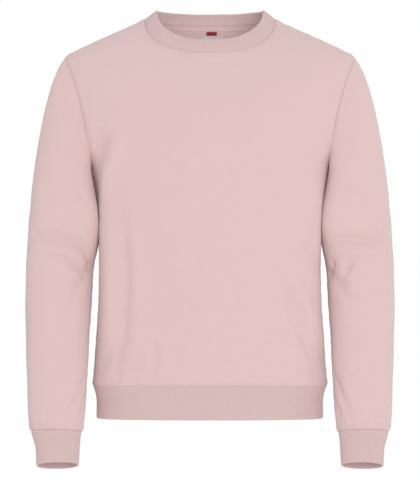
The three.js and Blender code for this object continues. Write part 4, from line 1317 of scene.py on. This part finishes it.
twill = woven("cotton_twill_tape", TWILL_PINK, 0.9, slant=1.0, rough=0.85, sheen=0.1, mirrored=5.0)
thread = woven("polyester_thread", THREAD_PINK, 0.4, slant=1.5, rough=0.6, sheen=0.1)
red_satin = woven("red_woven_label", LABEL_RED, 0.35, slant=0.2, rough=0.55, sheen=0.15)
pale_satin = woven("pale_woven_label", LABEL_PALE, 0.35, slant=0.2, rough=0.6, sheen=0.15)
print("woven finishes:", twill.name, thread.name, red_satin.name, pale_satin.name)

# %% [markdown]
# ## Walls, finishes and what carries what
# Now the shells get their wall. Solidify puts the inner side in the second material slot, so
# the brushed back shows inside the neck and the hem. Each piece then gets what it is made of
# and hangs from the frame's root, and the frame's solids that the pieces stand for are hidden.

# %% Dress the frame
def area_of(piece):
    return sum(face.area for face in piece.data.polygons)


def finish_piece(piece, slot, *materials):
    piece.data.materials.clear()
    for material in materials:
        piece.data.materials.append(material)
    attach(piece, "root")


for piece in (front_cloth, back_cloth, *sleeve_cloths.values()):
    finish_piece(piece, "fleece", jersey, fleece_inside)
    give_wall(piece, FLEECE, inside=1)
for piece in (collar_band, hem_band, *cuff_bands.values()):
    finish_piece(piece, "rib", rib_knit)
for piece in (hem_stitches, neck_stitches, *seam_stitches.values()):
    finish_piece(piece, "fleece", thread)
finish_piece(neck_tape, "tape", twill)
finish_piece(red_tab, "red_label", red_satin)
finish_piece(pale_label, "pale_label", pale_satin)

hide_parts("front_panel")
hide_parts("back_panel")
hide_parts("collar_rib")
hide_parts("hem_rib")
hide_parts("neck_tape")
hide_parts("label_tab")
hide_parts("size_label")
for hand in ("left", "right"):
    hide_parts(f"sleeve_{hand}")
    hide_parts(f"cuff_{hand}")
for piece in (front_cloth, back_cloth, *sleeve_cloths.values(), collar_band, hem_band, *cuff_bands.values()):
    print(piece.name, triangles(piece), "triangles, half its surface", round(area_of(piece) / 2, 4), "m2")

# %% [markdown]
# ## The cut of each piece
# A panel isn't a rectangle, and each doubled rib is cut twice as wide as the part that shows,
# all round, and folded. No sheet with the size of its flat cut is declared here.

print("every piece is made")

# %% [markdown]
# ## Light, floor and camera
# The garment is shown in flat studio light on white. A large soft light stands behind the
# camera at its height, a little to the right, so surfaces that look up or down are slightly
# darker and the creases stay soft. A weak light on each side keeps the round sides light, and
# a very small lamp inside the neck shows the tape. The white surroundings fill the shadows.

# %% Studio
WHITE = (1, 1, 1, 1)
FILL, PAPER = 0.66, 1.0  # strength of the surroundings as light, and as the white behind
GARMENT_MIDDLE = (0, 0, -0.38)
# each soft light: its place and width in metres, and its power in watts
SOFT_LIGHTS = {
    "key": ((0.7, -5.2, -0.3), 2.4, 101),
    "left_side": ((-3.6, -0.6, -0.2), 2.0, 6),
    "right_side": ((3.6, -0.6, -0.2), 2.0, 7),
}
NECK_LAMP = {"location": (0, 0, -0.07), "radius": 0.03}
NECK_LAMP_POWER = 0.08
FLOOR = {"vertices": 96, "radius": 2.6, "location": (0, 0, -1.4)}

scene = bpy.context.scene
world = bpy.data.worlds.new("white_studio")
scene.world = world
world.use_nodes = True
world.node_tree.nodes.clear()
fill = add(world, "ShaderNodeBackground", {"Color": WHITE, "Strength": FILL})
paper = add(world, "ShaderNodeBackground", {"Color": WHITE, "Strength": PAPER})
ray = add(world, "ShaderNodeLightPath")
choices = {0: ray.outputs["Is Camera Ray"], 1: fill.outputs[0], 2: paper.outputs[0]}
choose = add(world, "ShaderNodeMixShader", choices)
add(world, "ShaderNodeOutputWorld", {"Surface": choose.outputs[0]})
scene.view_settings.view_transform = "Standard"


def soft_light(name, place, wide, power):
    bpy.ops.object.light_add(type="AREA", location=place)
    lamp = bpy.context.object
    lamp.name = name
    lamp.data.shape = "DISK"
    lamp.data.size = wide
    lamp.data.energy = power
    lamp.rotation_euler = (Vector(GARMENT_MIDDLE) - Vector(place)).to_track_quat("-Z", "Y").to_euler()


for name, settings in SOFT_LIGHTS.items():
    soft_light(name, *settings)

bpy.ops.object.light_add(type="POINT", **NECK_LAMP)
neck_lamp = bpy.context.object
neck_lamp.name = "inside_neck"
neck_lamp.data.shadow_soft_size = NECK_LAMP["radius"]
neck_lamp.data.energy = NECK_LAMP_POWER

bpy.ops.object.select_all(action="DESELECT")
bpy.ops.mesh.primitive_circle_add(fill_type="NGON", **FLOOR)
floor = bpy.context.object
floor.name = "floor"
paint, paint_shader = new_finish("matte_white_floor", 0.9, 0.0, 0.5)
paint.node_tree.links.new(mottled(paint, FLOOR_WHITE, 0.01, 200), paint_shader.inputs["Base Color"])
floor.data.materials.append(paint)
print("floor at", round(floor.location.z, 2), "m")

# %% [markdown]
# ### Camera
# The photograph looks straight at the garment from about four and a half metres with a long
# lens, so near and far parts keep their sizes.

# %% Camera
FRAME_HEIGHT = 0.8256  # what the picture's 480 pixels cover at the garment, in metres
CAMERA_AWAY = 4.5
CAMERA_SIDE, CAMERA_HEIGHT = 0.0001, -0.3767  # the photograph's centre, in metres from the origin
lens_data = bpy.data.cameras.new("camera")
camera = bpy.data.objects.new("camera", lens_data)
scene.collection.objects.link(camera)
lens_data.lens = lens_data.sensor_width * CAMERA_AWAY / FRAME_HEIGHT
camera.location = (CAMERA_SIDE, -CAMERA_AWAY, CAMERA_HEIGHT)
camera.rotation_euler = (math.pi / 2, 0, 0)
scene.camera = camera
print("lens", round(lens_data.lens, 1), "mm")
